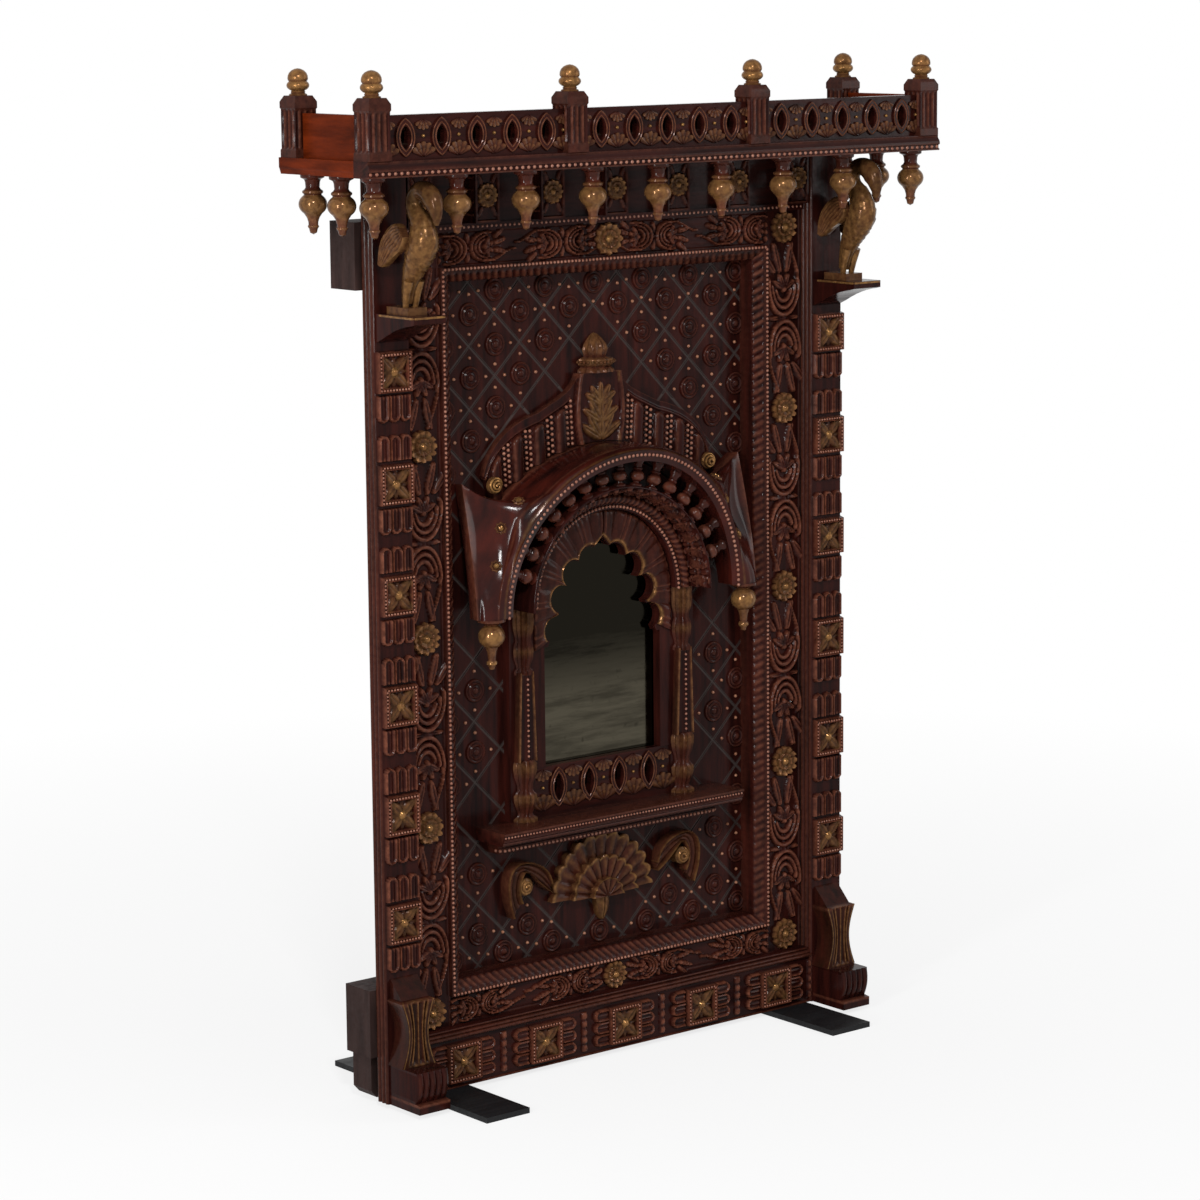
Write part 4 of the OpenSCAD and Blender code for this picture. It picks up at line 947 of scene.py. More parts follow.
class JHAROKHA_OT_rope_mouldings(Piece, bpy.types.Operator):
    """Carve the rope moulding and thread its bead row round the lattice"""
    bl_idname = "jharokha.rope_mouldings"
    bl_label = "Rope mouldings"

    bead_seat = 6.0
    slope = 15.5
    chamfer = 1.5
    strand = 2.6

    def length(self, half, far, y_front, y_back, pitch):
        """One mitred length: its half length, the distance of its outer edge, and its depths."""
        t = np.linspace(0, 1, 10)[1:]
        seat, slope, chamfer = self.bead_seat, self.slope, self.chamfer
        off = np.concatenate([[0, 0, chamfer, seat - chamfer, seat], seat + slope * t, [seat + slope]])
        y = np.concatenate([[y_back, y_front + 1, y_front, y_front, y_front + chamfer],
                            y_front + chamfer + (slope - chamfer) * t, [y_back]])
        slant = np.concatenate([np.full(5, -1), t, [-1]])
        body = np.sqrt(np.clip(1 - (2 * slant - 1) ** 4, 0, 1))
        rings, rubs = [], []
        for s in np.linspace(-1, 1, int(2 * half / 2.4)):
            at = s * (half - off)
            stroke = np.abs(np.sin(np.pi * (at / pitch + 0.9 * slant)))
            lift = np.where(slant > 0, self.strand * stroke ** 0.7 * body, 0)
            rings.append(np.column_stack([far - off - 0.7 * lift, y - 0.7 * lift, at]))
            rubs.append(np.where(slant > 0, 0.75 * np.clip((lift - 1.7) / 0.9, 0, 1), 0.15))
        return loft(rings, rubs)

    def execute(self, context):
        size = carving()
        lo, hi = node_box("rope_moulding_right")
        middle = (lo[2] + hi[2]) / 2
        tall, wide = (hi[2] - lo[2]) / 2, hi[0]
        upright = self.length(tall, wide, lo[1], hi[1], size["rope_pitch"])
        across = self.length(wide, tall, lo[1], hi[1], size["rope_pitch"])
        quarter = math.pi / 2
        lengths = (("right", upright, 0, "wood_upright"), ("left", upright, math.pi, "wood_upright"),
                   ("top", across, -quarter, "wood_across"), ("bottom", across, quarter, "wood_across"))
        for name, part, turn, finish in lengths:
            placed = moved(part, (0, 0, middle), (0, turn, 0))
            add_piece("rope_carving_" + name, placed, finish, ["rope_moulding_" + name])
        inset = self.bead_seat / 2
        line = rectangle(0, lo[1], middle, wide - inset, tall - inset)
        thread("rope_beads", [line], 6.4, size["bead"], closed=True)
        return {"FINISHED"}


class JHAROKHA_OT_bottom_rail(Piece, bpy.types.Operator):
    """Carve the bottom rail and the reeded ledge over it"""
    bl_idname = "jharokha.bottom_rail"
    bl_label = "Bottom rail and ledge"

    boss_pitch = 148.0
    boss_width = 57.0
    boss_height = 10.0
    reed_steps = (0, 3.5, 10)

    def execute(self, context):
        size = carving()
        lo, hi = node_box("bottom_rail")
        x, z = field_grid(lo[0], hi[0], lo[2], hi[2], size["cell"])
        middle = (lo[2] + hi[2]) / 2
        t = z - middle
        u = x - np.round(x / self.boss_pitch) * self.boss_pitch
        height, gilt = flower_square(u, t, self.boss_width, self.boss_height)
        root = self.boss_width / 2 + 2
        length = (self.boss_pitch - self.boss_width) / 2 - 20
        tongues = tongue_set(t, root - np.abs(u), TONGUE_PITCH, length, self.boss_height * TONGUE_SHARE)
        height = np.maximum(height, tongues)
        reach = self.boss_pitch / 2 - np.abs(u)
        scallop = ridge(reach, 5.0, 6.0) * (0.55 + 0.45 * np.abs(np.cos(np.pi * t / 12)))
        height = np.maximum(height, np.where(np.abs(t) < 30, scallop, 0))
        height = np.maximum(height, np.where(np.abs(t) > middle - lo[2] - 3.0, 2.5, 0))
        part = carved_board(x, z, height, lo[1] + self.boss_height, hi[1], gilt)
        add_piece("bottom_rail_carving", part, "wood_across", ["bottom_rail"])
        inset = (self.boss_width - self.boss_width * BOSS_BORDER) / 2
        lines = [rectangle(i * self.boss_pitch, lo[1] + 1.5, middle, inset, inset) for i in range(-2, 3)]
        thread("bottom_rail_beads", lines, 5.2, size["boss_bead"], closed=True)
        lo, hi = node_box("ledge_moulding")
        thick = (hi[2] - lo[2]) / len(self.reed_steps)
        profile = [(hi[1], lo[2])]
        for k, back in enumerate(self.reed_steps):
            for a in np.linspace(-80, 80, 7):
                c, s = cos_sin(a)
                z = lo[2] + thick * (k + 0.5) + thick / 2 * s
                profile.append((lo[1] + back + thick / 2 - thick / 2 * c, z))
        profile.append((hi[1], hi[2]))
        profile = np.array(profile)
        mark = np.where(profile[:, 0] < lo[1] + 10.3, 0.35, 0.0)
        reeds = loft(along_x(profile, lo[0], hi[0], 60), mark[None, :])
        add_piece("ledge_reeds", reeds, "wood_across", ["ledge_moulding"])
        return {"FINISHED"}


class JHAROKHA_OT_feet(Piece, bpy.types.Operator):
    """Carve the foot blocks and the waisted consoles on them"""
    bl_idname = "jharokha.feet"
    bl_label = "Foot blocks and consoles"

    plinth = 0.24
    console_body = 94.0
    waist = 12.0
    cap_inset = 6.0

    def execute(self, context):
        lo, hi = node_box("foot_block_right")
        u, v = grid((-1, 1, 56), (0, 1, 42))
        half = (hi[0] - lo[0]) / 2
        rise = hi[2] - lo[2]
        t = np.clip((v - self.plinth) / (1 - self.plinth), 0, 1)
        swell = 9 * (1 - t) ** 2 - 9 * t * (1 - t) + 4 * t ** 2
        flute = np.abs(np.sin(np.pi * (u * 2.5 + 0.5)))
        fade = np.sin(np.pi * np.clip(t, 0.02, 0.98)) ** 0.3
        depth = np.where(v < self.plinth, 0.0, swell + 4.0 * (1 - flute ** 0.6) * fade)
        front = np.stack([(lo[0] + hi[0]) / 2 + half * u, lo[1] + depth, lo[2] + rise * v], -1)
        block = slab(front, hi[1], rubbed(-depth, 3, 1.5) * 0.8)
        lo, hi = node_box("foot_console_right")
        rise = hi[2] - lo[2]
        body = self.console_body / rise
        half = (hi[0] - lo[0]) / 2
        u, v = grid((-1, 1, 60), (0, 1, 64))
        t = np.clip(v / body, 0, 1)
        width = np.where(v < body, half - self.waist * np.sin(np.pi * t), half - self.cap_inset)
        flute = 3.6 * np.clip(1 - ((np.abs(u * half) % 12 - 6) / 5.2) ** 2, 0, 1) ** 0.5
        flute = np.where(np.abs(u * half) < 18, flute, 0) * step(0.02, 0.08, t) * step(1.0, 0.93, t)
        slope = hi[1] - lo[1] - self.cap_inset - 0.6
        depth = np.where(v < body, flute, self.cap_inset + slope * (v - body) / (1 - body))
        front = np.stack([(lo[0] + hi[0]) / 2 + width * u, lo[1] + depth, lo[2] + rise * v], -1)
        gold = np.where(v < body, 0.04 + 0.5 * rubbed(-flute, 3, 1.0), 0.02)
        gold = np.maximum(gold, np.where((np.abs(np.abs(u) - 0.92) < 0.045) & (v < body), 0.75, 0))
        console = slab(front, hi[1], rubbed(-depth, 3, 1.5) * 0.5, gold)
        pairs = (("right", block, console), ("left", mirrored(block), mirrored(console)))
        for side, foot, top in pairs:
            add_piece("foot_gadroons_" + side, foot, "wood_upright", ["foot_block_" + side])
            add_piece("console_flutes_" + side, top, "wood_upright", ["foot_console_" + side])
        return {"FINISHED"}


# Field and window

class JHAROKHA_OT_lattice(Piece, bpy.types.Operator):
    """Set the ring bosses and gold pins on the lattice panel"""
    bl_idname = "jharokha.lattice"
    bl_label = "Lattice bosses and pins"

    step_x = 89.5
    step_z = 89.0
    ring = 17.0
    edge = 21.5
    pin_reach = 28.0
    window_half = 172.0
    arch_rise = 310.0
    hood_half = 256.0
    hood_drop = 73.0
    dome_rise = 535.0
    notch = 39.0
    shell_half = 96.0
    scroll_half = 191.0

    def is_clear(self, x, z):
        """Whether a ring boss shows at this place, past the window, the shelf, the dome and the shell."""
        half = abs(x)
        margin = self.ring + 6
        shelf, dome = node_box("window_shelf"), node_box("dome_fan")
        finial, shell = node_box("dome_finial"), node_box("shell")
        low, top = shelf[1][2], shelf[1][2] + self.dome_rise
        arch, roof = low + self.arch_rise, dome[1][2]
        root = shell[0][2] + 38
        covered = (
            half < self.window_half + margin and low < z < arch,
            half < shelf[1][0] + margin and shelf[0][2] - 20 - margin < z < low + margin,
            half < self.hood_half + margin and arch - self.hood_drop < z < top - self.notch,
            half < dome[1][0] + margin and top - self.notch <= z < top,
            half < min((roof - z) * 1.55 + 54, 215) and top <= z < roof + 20,
            half < 30 + margin and roof <= z < finial[1][2] + margin,
            half < self.shell_half and root - 24 < z < low,
            half < self.scroll_half and root < z < low,
        )
        return not any(covered)

    def execute(self, context):
        size = carving()
        lo, hi = node_box("lattice_panel")
        y_panel = lo[1] + 3.6
        middle = (lo[2] + hi[2]) / 2
        reach_x, reach_z = hi[0] - self.edge, (hi[2] - lo[2]) / 2 - self.edge
        places = []
        for i in range(-11, 12):
            for j in range(-4, 5):
                x = (j + (0.5 if i % 2 == 0 else 0.0)) * self.step_x
                z = middle + max(self.ring - reach_z, min(reach_z - self.ring, i * self.step_z / 2))
                if abs(x) < reach_x and self.is_clear(x, z):
                    places.append((x, z))
        profile = [(self.ring, -0.5), (self.ring, 1.6), (16.2, 3.0), (14.9, 3.6), (13.4, 2.6), (12.3, 2.3),
                   (11.3, 3.2), (10.0, 4.2), (8.6, 3.2), (7.4, 2.4), (5.4, 2.9), (4.4, 4.4), (2.6, 5.4),
                   (0.0, 5.8)]
        rub = [0, 0, 0.2, 0.22, 0, 0, 0.1, 0.24, 0, 0, 0, 0.1, 0.2, 0.2]
        boss = turned(profile, 26, rub=rub)
        quarter = (math.pi / 2, 0, 0)
        far = self.pin_reach
        set_out("lattice_rings", boss, [((x, y_panel, z), quarter, 1.0) for x, z in places], "wood_upright")
        pins = []
        for x, z in places:
            for dx, dz in ((far, 0), (-far, 0), (0, far), (0, -far)):
                if abs(x + dx) < reach_x - 3 and abs(z + dz - middle) < reach_z - 3:
                    pins.append(((x + dx, y_panel, z + dz), quarter, 1.0))
        r = size["pin"] / 2
        pin = turned([(r, -0.4), (r, 0.5), (r * 0.8, r * 0.75), (r * 0.45, r), (0, r * 1.1)], 7, gilt=0.3)
        set_out("lattice_pins", pin, pins, "bead_copper")
        return {"FINISHED"}


def half_round(radius, y, z, count=61):
    """Points of an upright half circle over a place, from right to left."""
    a = np.radians(np.linspace(0.0, 180.0, count))
    return np.stack([radius * np.cos(a), np.full(count, y), z + radius * np.sin(a)], -1)


class JHAROKHA_OT_arch(Piece, bpy.types.Operator):
    """Carve the arch ring with its bead, rope and scroll rounds"""
    bl_idname = "jharokha.arch"
    bl_label = "Arch ring"

    width = 38.0
    lip = 14.0
    mean_radius = 150.0
    rope_radius = 6.8
    rope_pitch = 9.5
    scroll_count = 11

    def execute(self, context):
        size = carving()
        lo, hi = node_box("arch_ring")
        outer = hi[0]
        inner = outer - self.width
        z_mid = lo[2]
        y_back, y_front = hi[1], lo[1]
        y_lip = y_back - self.lip
        s = np.linspace(0, 1, 26)
        start = inner + 24
        flat = np.array([[inner, y_back], [inner, y_lip + 1], [inner + 1, y_lip], [inner + 8.5, y_lip]])
        rope_a = np.linspace(np.pi, 0, 9)
        rope = self.rope_radius * np.column_stack([np.cos(rope_a), -np.sin(rope_a)]) + [inner + 16, y_lip]
        splay = np.column_stack([start + (outer - 3 - start) * s, y_lip + (y_front - y_lip) * s])
        end = np.array([[outer - 2, y_front], [outer, y_front + 2], [outer, y_back]])
        line = np.concatenate([flat, rope, splay, end])
        kind = np.concatenate([np.zeros(4), np.ones(9), np.full(26, 2), np.zeros(3)])
        part_s = np.concatenate([np.zeros(4), np.linspace(0, 1, 9), s, np.zeros(3)])
        normal = np.array([-(y_lip - y_front), -(outer - inner - 27)])
        normal = normal / np.linalg.norm(normal)
        across = (part_s - 0.5) * 42
        pitch = self.mean_radius * np.pi / self.scroll_count
        rings, rubs = [], []
        for a in np.linspace(0, np.pi, 260):
            u = a * self.mean_radius
            stroke = np.abs(np.sin(np.pi * (u / self.rope_pitch + 0.8 * part_s)))
            along = (u % pitch) - pitch / 2
            scroll = vine_relief(np.full(len(line), along), across, pitch, 21, 4.5)
            scroll = np.where(kind == 2, scroll, 0)
            radius = line[:, 0] + scroll * normal[0]
            depth = line[:, 1] - np.where(kind == 1, 1.5 * stroke, 0) + scroll * normal[1]
            depth = np.clip(depth, y_front, None)
            rings.append(np.column_stack([radius * math.cos(a), depth, z_mid + radius * math.sin(a)]))
            rope_rub = np.clip((stroke - 0.6) / 0.4, 0, 1)
            leaf_rub = np.clip((scroll - 2.2) / 2.0, 0, 1)
            rubs.append(0.8 * np.where(kind == 1, rope_rub, leaf_rub))
        ring = loft(rings, rubs)
        add_piece("arch_carving", ring, "wood_upright", ["arch_ring"], sharp=50)
        beads = half_round(inner + 4.5, y_lip - 1.0, z_mid)
        thread("arch_beads", [beads], 6.6, size["bead"] * 1.05)
        return {"FINISHED"}


class JHAROKHA_OT_spindles(Piece, bpy.types.Operator):
    """Turn the row of spindles under the hood"""
    bl_idname = "jharokha.spindles"
    bl_label = "Spindles"

    count = 15
    spread = 17.0

    def execute(self, context):
        lo, hi = node_box("arch_ring")
        root = hi[0]
        y = lo[1] + 11.0
        profile = [(0, -3), (8.6, -3), (9.4, 0), (9.4, 1.8), (7.0, 3.2), (4.6, 4.4), (4.4, 6), (6.6, 7.2),
                   (9.6, 10), (10.9, 13.5), (10.4, 17), (8.4, 20.5), (6.2, 22.5), (7.6, 24), (7.6, 25.4),
                   (6.0, 27), (6.2, 31), (7.8, 34.5), (9.0, 36.5), (9.0, 38), (0, 38)]
        rub = np.array([0.6 if r > 9.5 else 0.12 for r, _ in profile])
        part = turned(profile, 18, rub=rub)
        places = []
        for i in range(self.count):
            a = self.spread + i * (180 - 2 * self.spread) / (self.count - 1)
            c, s = cos_sin(a)
            places.append(((root * c, y, lo[2] + root * s), (0, math.radians(90 - a), 0), 1.0))
        set_out("turned_spindles", part, places, "wood_smooth", ["spindle_row"])
        return {"FINISHED"}


class JHAROKHA_OT_window(Piece, bpy.types.Operator):
    """Carve the leaves of the cusped arch, the pierced sill rail and the colonnettes"""
    bl_idname = "jharokha.window"
    bl_label = "Window carving"

    bead_round = 127.5
    opening_half = 108.0
    opening_rise = 150.0
    foil = 20.0
    foil_count = 4
    head_height = 96.0
    hole_pitch = 56.5
    hole_count = 4

    def spandrel(self, z_mid, y_board):
        """Leafy fan between the cusped edge and the bead round, for the right half."""
        a, v = np.meshgrid(np.radians(np.linspace(-27, 89.5, 150)), np.linspace(0, 1, 26), indexing="ij")
        inner = np.zeros_like(a)
        for radius in np.linspace(60, 127, 135):
            seen = self.opening(radius * np.cos(a), radius * np.sin(a) + z_mid, z_mid)
            inner = np.where(seen, radius, inner)
        inner = np.maximum(inner + 2.0, 62)
        outer = np.where(a < 0, self.bead_round / np.cos(a), self.bead_round)
        radius = inner + (outer - inner) * v
        lobe = np.abs(np.cos(np.degrees(a) * np.pi / 22.5))
        leaf = 5.0 * (0.35 + 0.65 * lobe ** 0.7) * np.sqrt(np.clip(1 - (2 * v - 1) ** 4, 0, 1))
        vein = 1.6 * bell(lobe - 1, 0.02)
        rim = 3.4 * bell(radius - inner - 2.0, 1.6)
        fine = 1.1 * np.abs(np.cos(np.degrees(a) * np.pi / 7.5)) * step(0.15, 0.5, v)
        height = np.maximum(leaf - vein + fine, rim) + 0.5
        front = np.stack([radius * np.cos(a), y_board - height, z_mid + radius * np.sin(a)], -1)
        gilt = 0.75 * bell(radius - inner - 2.0, 2.2)
        return slab(front, y_board + 0.4, np.clip(rubbed(height, 2, 0.9) + 0.12, 0, 1), gilt)

    def opening(self, x, z, z_mid):
        """Whether a point lies in the mirror opening, on its right half."""
        half, foil, rise = self.opening_half, self.foil, self.opening_rise
        spring = z_mid - 62
        top = spring + rise
        bend_z = spring + rise * 0.55
        lower_edge = half - 6 + (half * 0.6 - half + 6) * (z - spring) / (bend_z - spring)
        upper_edge = half * 0.6 * (top - z) / (top - bend_z)
        inside = (z >= spring) & (z <= bend_z) & (x <= lower_edge)
        inside = inside | ((z > bend_z) & (x <= upper_edge)) | ((z < spring) & (x < half))
        for i in range(self.foil_count):
            t = (i + 0.5) / self.foil_count
            cx = (half - foil) * math.cos(math.radians(90 * t * 0.95))
            cz = spring + rise * 0.8 * math.sin(math.radians(90 * t))
            inside = inside | (np.hypot(x - cx, z - cz) < foil)
        return inside

    def column(self, lo, hi):
        """A colonnette: leafy foot, tapered shaft with raised edges, and a leafy capital."""
        rise = hi[2] - lo[2]
        foot = [(0, 0), (19.5, 0), (19.5, 4), (13, 8), (12, 12), (15, 20), (18.5, 30), (19, 38), (15, 42),
                (12.4, 46), (13, 54), (17, 64), (19.4, 76), (19.5, 84), (16, 90), (0, 92)]
        head = [(0, 0), (14.5, 0), (15.2, 3), (14.5, 6), (11.4, 9), (12, 14), (15.6, 24), (16.4, 34),
                (15.6, 42), (12.6, 48), (13, 54), (16.4, 66), (17.4, 78), (16.6, 84), (17.4, 90),
                (17.4, self.head_height), (0, self.head_height)]
        low = turned(foot, 84, 14, 0.2, 0.22, [0.25 * (r > 18) for r, _ in foot])
        top = turned(head, 84, 14, 0.2, 0.22, [0.25 * (r > 16) for r, _ in head])
        top = moved(top, (0, 0, rise - self.head_height))
        u, v = grid((-1, 1, 27), (0, 1, 44))
        width = 17.5 - 5.0 * v
        edge = bell(np.abs(u) - 0.86, 0.1)
        depth = 9.0 + 3.6 * edge + ridge(u, 0.25, 2.0)
        front = np.stack([width * u, -depth, 88 + (rise - self.head_height - 84) * v], -1)
        shaft = slab(front, 2.0, 0.5 * edge, 0.4 * edge)
        return join([low, shaft, top])

    def execute(self, context):
        y_board = node_box("window_board")[0][1]
        z_mid = node_box("arch_ring")[0][2]
        leaves = self.spandrel(z_mid, y_board)
        add_piece("arch_leaves", join([leaves, mirrored(leaves)]), "wood_upright")
        lo, hi = node_box("colonnette_right")
        x_mid = (lo[0] + hi[0]) / 2
        column = moved(self.column(lo, hi), (x_mid, y_board, lo[2]))
        add_pair("colonnette_carving", column, "wood_upright", "colonnette")
        levels = np.linspace(96, 208, 30)
        beads = [[(s * x_mid, y_board - 12.0, lo[2] + h) for h in levels] for s in (-1, 1)]
        thread("colonnette_beads", beads, 7.2, 3.8)
        paint("wood_across", "window_sill_rail")
        lo, hi = node_box("window_sill_rail")
        z = lo[2] + (hi[2] - lo[2]) * 0.56
        first = (1 - self.hole_count) / 2
        holes = [((first + i) * self.hole_pitch, lo[1], z) for i in range(self.hole_count)]
        pierced_rail("sill_rail_trim", holes, self.hole_pitch, 17, 40, hi[2] - lo[2])
        return {"FINISHED"}


def lens_line(width, height, count=16):
    """A pointed oval in X and Z."""
    radius = (width * width + height * height) / (4 * width)
    half = math.asin(height / 2 / radius)
    a = np.linspace(-half, half, count)
    x = radius * np.cos(a) - radius + width / 2
    z = radius * np.sin(a)
    right = np.stack([x, 0 * x, z], -1)
    return np.concatenate([right[:-1], (right * [-1, 1, 1])[::-1][:-1]])


def palmette(radius, lobes=5, spread=70.0, thick=2.6):
    """A small fan of leaves that rises from the origin, in front of y = 0."""
    a, v = grid((-1, 1, lobes * 5), (0.12, 1, 7))
    lobe = np.abs(np.cos(a * np.pi / 2 * lobes))
    reach = radius * (0.8 + 0.2 * lobe ** 0.6) * v
    angle = np.radians(a * spread)
    height = thick * (0.45 + 0.55 * lobe) * (0.55 + 0.45 * v)
    front = np.stack([reach * np.sin(angle), -height, reach * np.cos(angle)], -1)
    return slab(front, 0.3, 0.5 * lobe * v, 0.35 * lobe * v ** 2)


def pierced_rail(name, holes, pitch, width, height, tall):
    """Copper lines round the pierced ovals of a rail, with leaf fans and small pins between them."""
    lines = join([tube(lens_line(width + 3, height + 5), 1.0, 5, 0.7, 0.1, True),
                  moved(tube(lens_line(width + 12, height + 17), 1.1, 5, 0.6, 0.1, True), (0, 0.4, 0))])
    set_out(name + "_lines", lines, upright(holes), "wood_across")
    fan = join([palmette(tall * 0.36), moved(palmette(tall * 0.2, 3, 55, 3.4), (0, 0, 1))])
    fans, pins = [], []
    first, y, z = holes[0][0] - pitch / 2, holes[0][1] + 2.2, holes[0][2]
    for k in range(len(holes) + 1):
        x = first + k * pitch
        fans.append(((x, y, z - tall * 0.46), (0, 0, 0), 1.0))
        fans.append(((x, y, z + tall * 0.4), (0, math.pi, 0), 0.7))
        pins.append(((x, y, z + tall * 0.02), (math.pi / 2, 0, 0), 1.0))
    set_out(name + "_fans", fan, fans, "wood_across")
    pin = turned([(2.4, -0.4), (2.4, 0.6), (1.9, 1.9), (1.0, 2.6), (0, 2.8)], 7, gilt=1.0)
    set_out(name + "_pins", pin, pins, "wood_gilded")


class JHAROKHA_OT_hood(Piece, bpy.types.Operator):
    """Shape the drooping hood, its bead row, flowers and pendants"""
    bl_idname = "jharokha.hood"
    bl_label = "Hood"

    rim_radius = 220.0
    rim_reach = 99.0
    rim_sweep = 26.0
    soffit = 204.0
    flank = 36.0
    flank_width = 36.0
    flank_drop = 39.0
    notch = 52.0
    top_rise = 225.0
    board = 19.0
    dome_radius = 291.0
    dome_half = 196.0
    pendant_radius = 19.0
    points = 25

    def rim(self, a):
        """Point of the lower front edge at an angle in degrees."""
        c, s = cos_sin(a)
        reach = self.y_panel - self.rim_reach + self.rim_sweep * c * c
        return np.array([self.rim_radius * c, reach, self.z_mid + self.rim_radius * s])

    def top(self, a):
        """Upper edge: up the flank, in to the notch beside the dome, then over the arch."""
        if a > 90:
            return self.top(180 - a) * np.array([-1.0, 1.0, 1.0])
        z_top = self.z_mid + self.top_rise
        z_flank = z_top - self.flank_drop
        y_dome = self.y_panel - self.board
        if a < self.flank:
            u = a / self.flank
            start = self.y_panel - 73.0 + 18.0
            return np.array([self.rim_radius + self.flank_width - 3 * u, start + (y_dome - start) * u ** 1.4,
                             self.z_mid + (z_flank - self.z_mid) * u])
        z_centre = z_top - self.dome_radius
        if a < self.notch:
            u = (a - self.flank) / (self.notch - self.flank)
            low = z_centre + math.sqrt(self.dome_radius ** 2 - self.dome_half ** 2)
            wide = self.rim_radius + self.flank_width - 3
            return np.array([wide * (1 - u) + self.dome_half * u, y_dome, z_flank * (1 - u) + low * u])
        b = math.radians(90) - math.asin(self.dome_half / self.dome_radius) * (90 - a) / (90 - self.notch)
        return np.array([self.dome_radius * math.cos(b), y_dome, z_centre + self.dome_radius * math.sin(b)])

    def way_out(self, a):
        """Direction in which the hood swells."""
        c, s = cos_sin(a)
        return np.array([c, -0.6, s])

    def face(self, a):
        """Points from the rim to the upper edge."""
        near = min(a, 180 - a)
        swell = 8 - 34 * math.exp(-((near - 27) / 14) ** 2) + 12 * math.exp(-(near / 8) ** 2)
        rim, top = self.rim(a), self.top(a)
        return bend(rim, (rim + top) / 2 + self.way_out(a) * swell, top, self.points)

    def shell(self, y_least):
        """The hood as a closed skin, with its lip, its band and a plain underside."""
        rings, rubs, golds = [], [], []
        u = np.linspace(0, 1, self.points)
        inside = [0, 0, 0]
        rub = 0.75 * bell(u - 1, 0.045) + 0.6 * bell(u - 0.22, 0.02)
        gold = 0.25 * bell(u - 0.04, 0.02)
        band = 1.6 * (step(0.06, 0.1, u) - step(0.2, 0.24, u))
        for a in np.linspace(0, 180, 181):
            lip = 4.0 * bell(u - 1, 0.07) * (min(a, 180 - a) < self.notch)
            line = self.face(a) + (lip + band)[:, None] * self.way_out(a)
            line[:, 1] = np.maximum(line[:, 1], y_least)
            top = self.top(a)
            c, s = cos_sin(a)
            x, z = self.soffit * c, self.z_mid + self.soffit * s
            back = min(self.y_panel, top[1] + self.board)
            under = [[top[0], back, top[2]], [x, back, z], [x, line[0][1] + 6, z]]
            rings.append(np.concatenate([line, under]))
            rubs.append(np.concatenate([rub, inside]))
            golds.append(np.concatenate([gold, inside]))
        return loft(rings, rubs, golds)

    def flower_places(self):
        """Places on the face, each with the turn that lays a flower on it."""
        places = []
        k = 11
        for a in (17, 30, 46, 134, 150, 163):
            line, ahead = self.face(a), self.face(a + 1)
            normal = np.cross(line[k + 1] - line[k - 1], ahead[k] - line[k])
            normal = normal / np.linalg.norm(normal)
            if normal[1] > 0:
                normal = -normal
            turn = Vector(normal).to_track_quat("Z", "Y").to_euler()
            places.append((line[k], tuple(turn), 1.0))
        return places

    def execute(self, context):
        lo, hi = node_box("hood")
        self.z_mid = node_box("arch_ring")[0][2]
        self.y_panel = hi[1]
        add_piece("hood_shell", self.shell(lo[1]), "wood_smooth", ["hood"], sharp=45)
        row = []
        reach = (self.rim_radius + self.soffit) / 2 + 1.5
        for a in np.linspace(0, 180, 91):
            c, s = cos_sin(a)
            row.append((reach * c, self.rim(a)[1] + 2.4, self.z_mid + reach * s))
        thread("hood_beads", [row], 7.4, 5.0)
        profile = [(9, -1), (9.5, 0.6), (8, 2.2), (5.6, 1.4), (4.4, 2.6), (3.6, 4.0), (0, 4.8)]
        flower = turned(profile, 24, 8, 0.22, [0.2, 0.6, 0.5, 0, 0, 0, 0], [0.1, 0.4, 0.3, 0, 0.9, 1, 1])
        set_out("hood_flowers", flower, self.flower_places(), "wood_upright")
        lo, hi = node_box("hood_pendants")
        rise = hi[2] - lo[2]
        r = self.pendant_radius
        profile = [(0, 0), (r * 1.06, 0), (r * 1.06, -0.05), (r * 0.8, -0.075), (r * 0.66, -0.09)]
        profile += belly(r, -0.34, 0.24, 62, -62)
        profile += [(r * 0.34, -0.66), (r * 0.28, -0.8), (r * 0.4, -0.84), (r * 0.4, -0.88),
                    (r * 0.26, -0.92), (r * 0.2, -0.98), (0, -1)]
        round_gilt = [0.25 + 0.65 * c ** 2 for c, _ in belly(1, 0, 1, 62, -62)]
        gilt = [0, 0, 0.1, 0, 0] + round_gilt + [0.3, 0.2, 0.8, 0.8, 0.3, 0.5, 0.6]
        part = turned([(q, h * rise) for q, h in profile], 28, rub=0.35, gilt=gilt)
        spots = upright([(s * (self.rim_radius + 15), (lo[1] + hi[1]) / 2, hi[2]) for s in (-1, 1)])
        set_out("turned_pendants", part, spots, "wood_smooth", ["hood_pendants"])
        return {"FINISHED"}


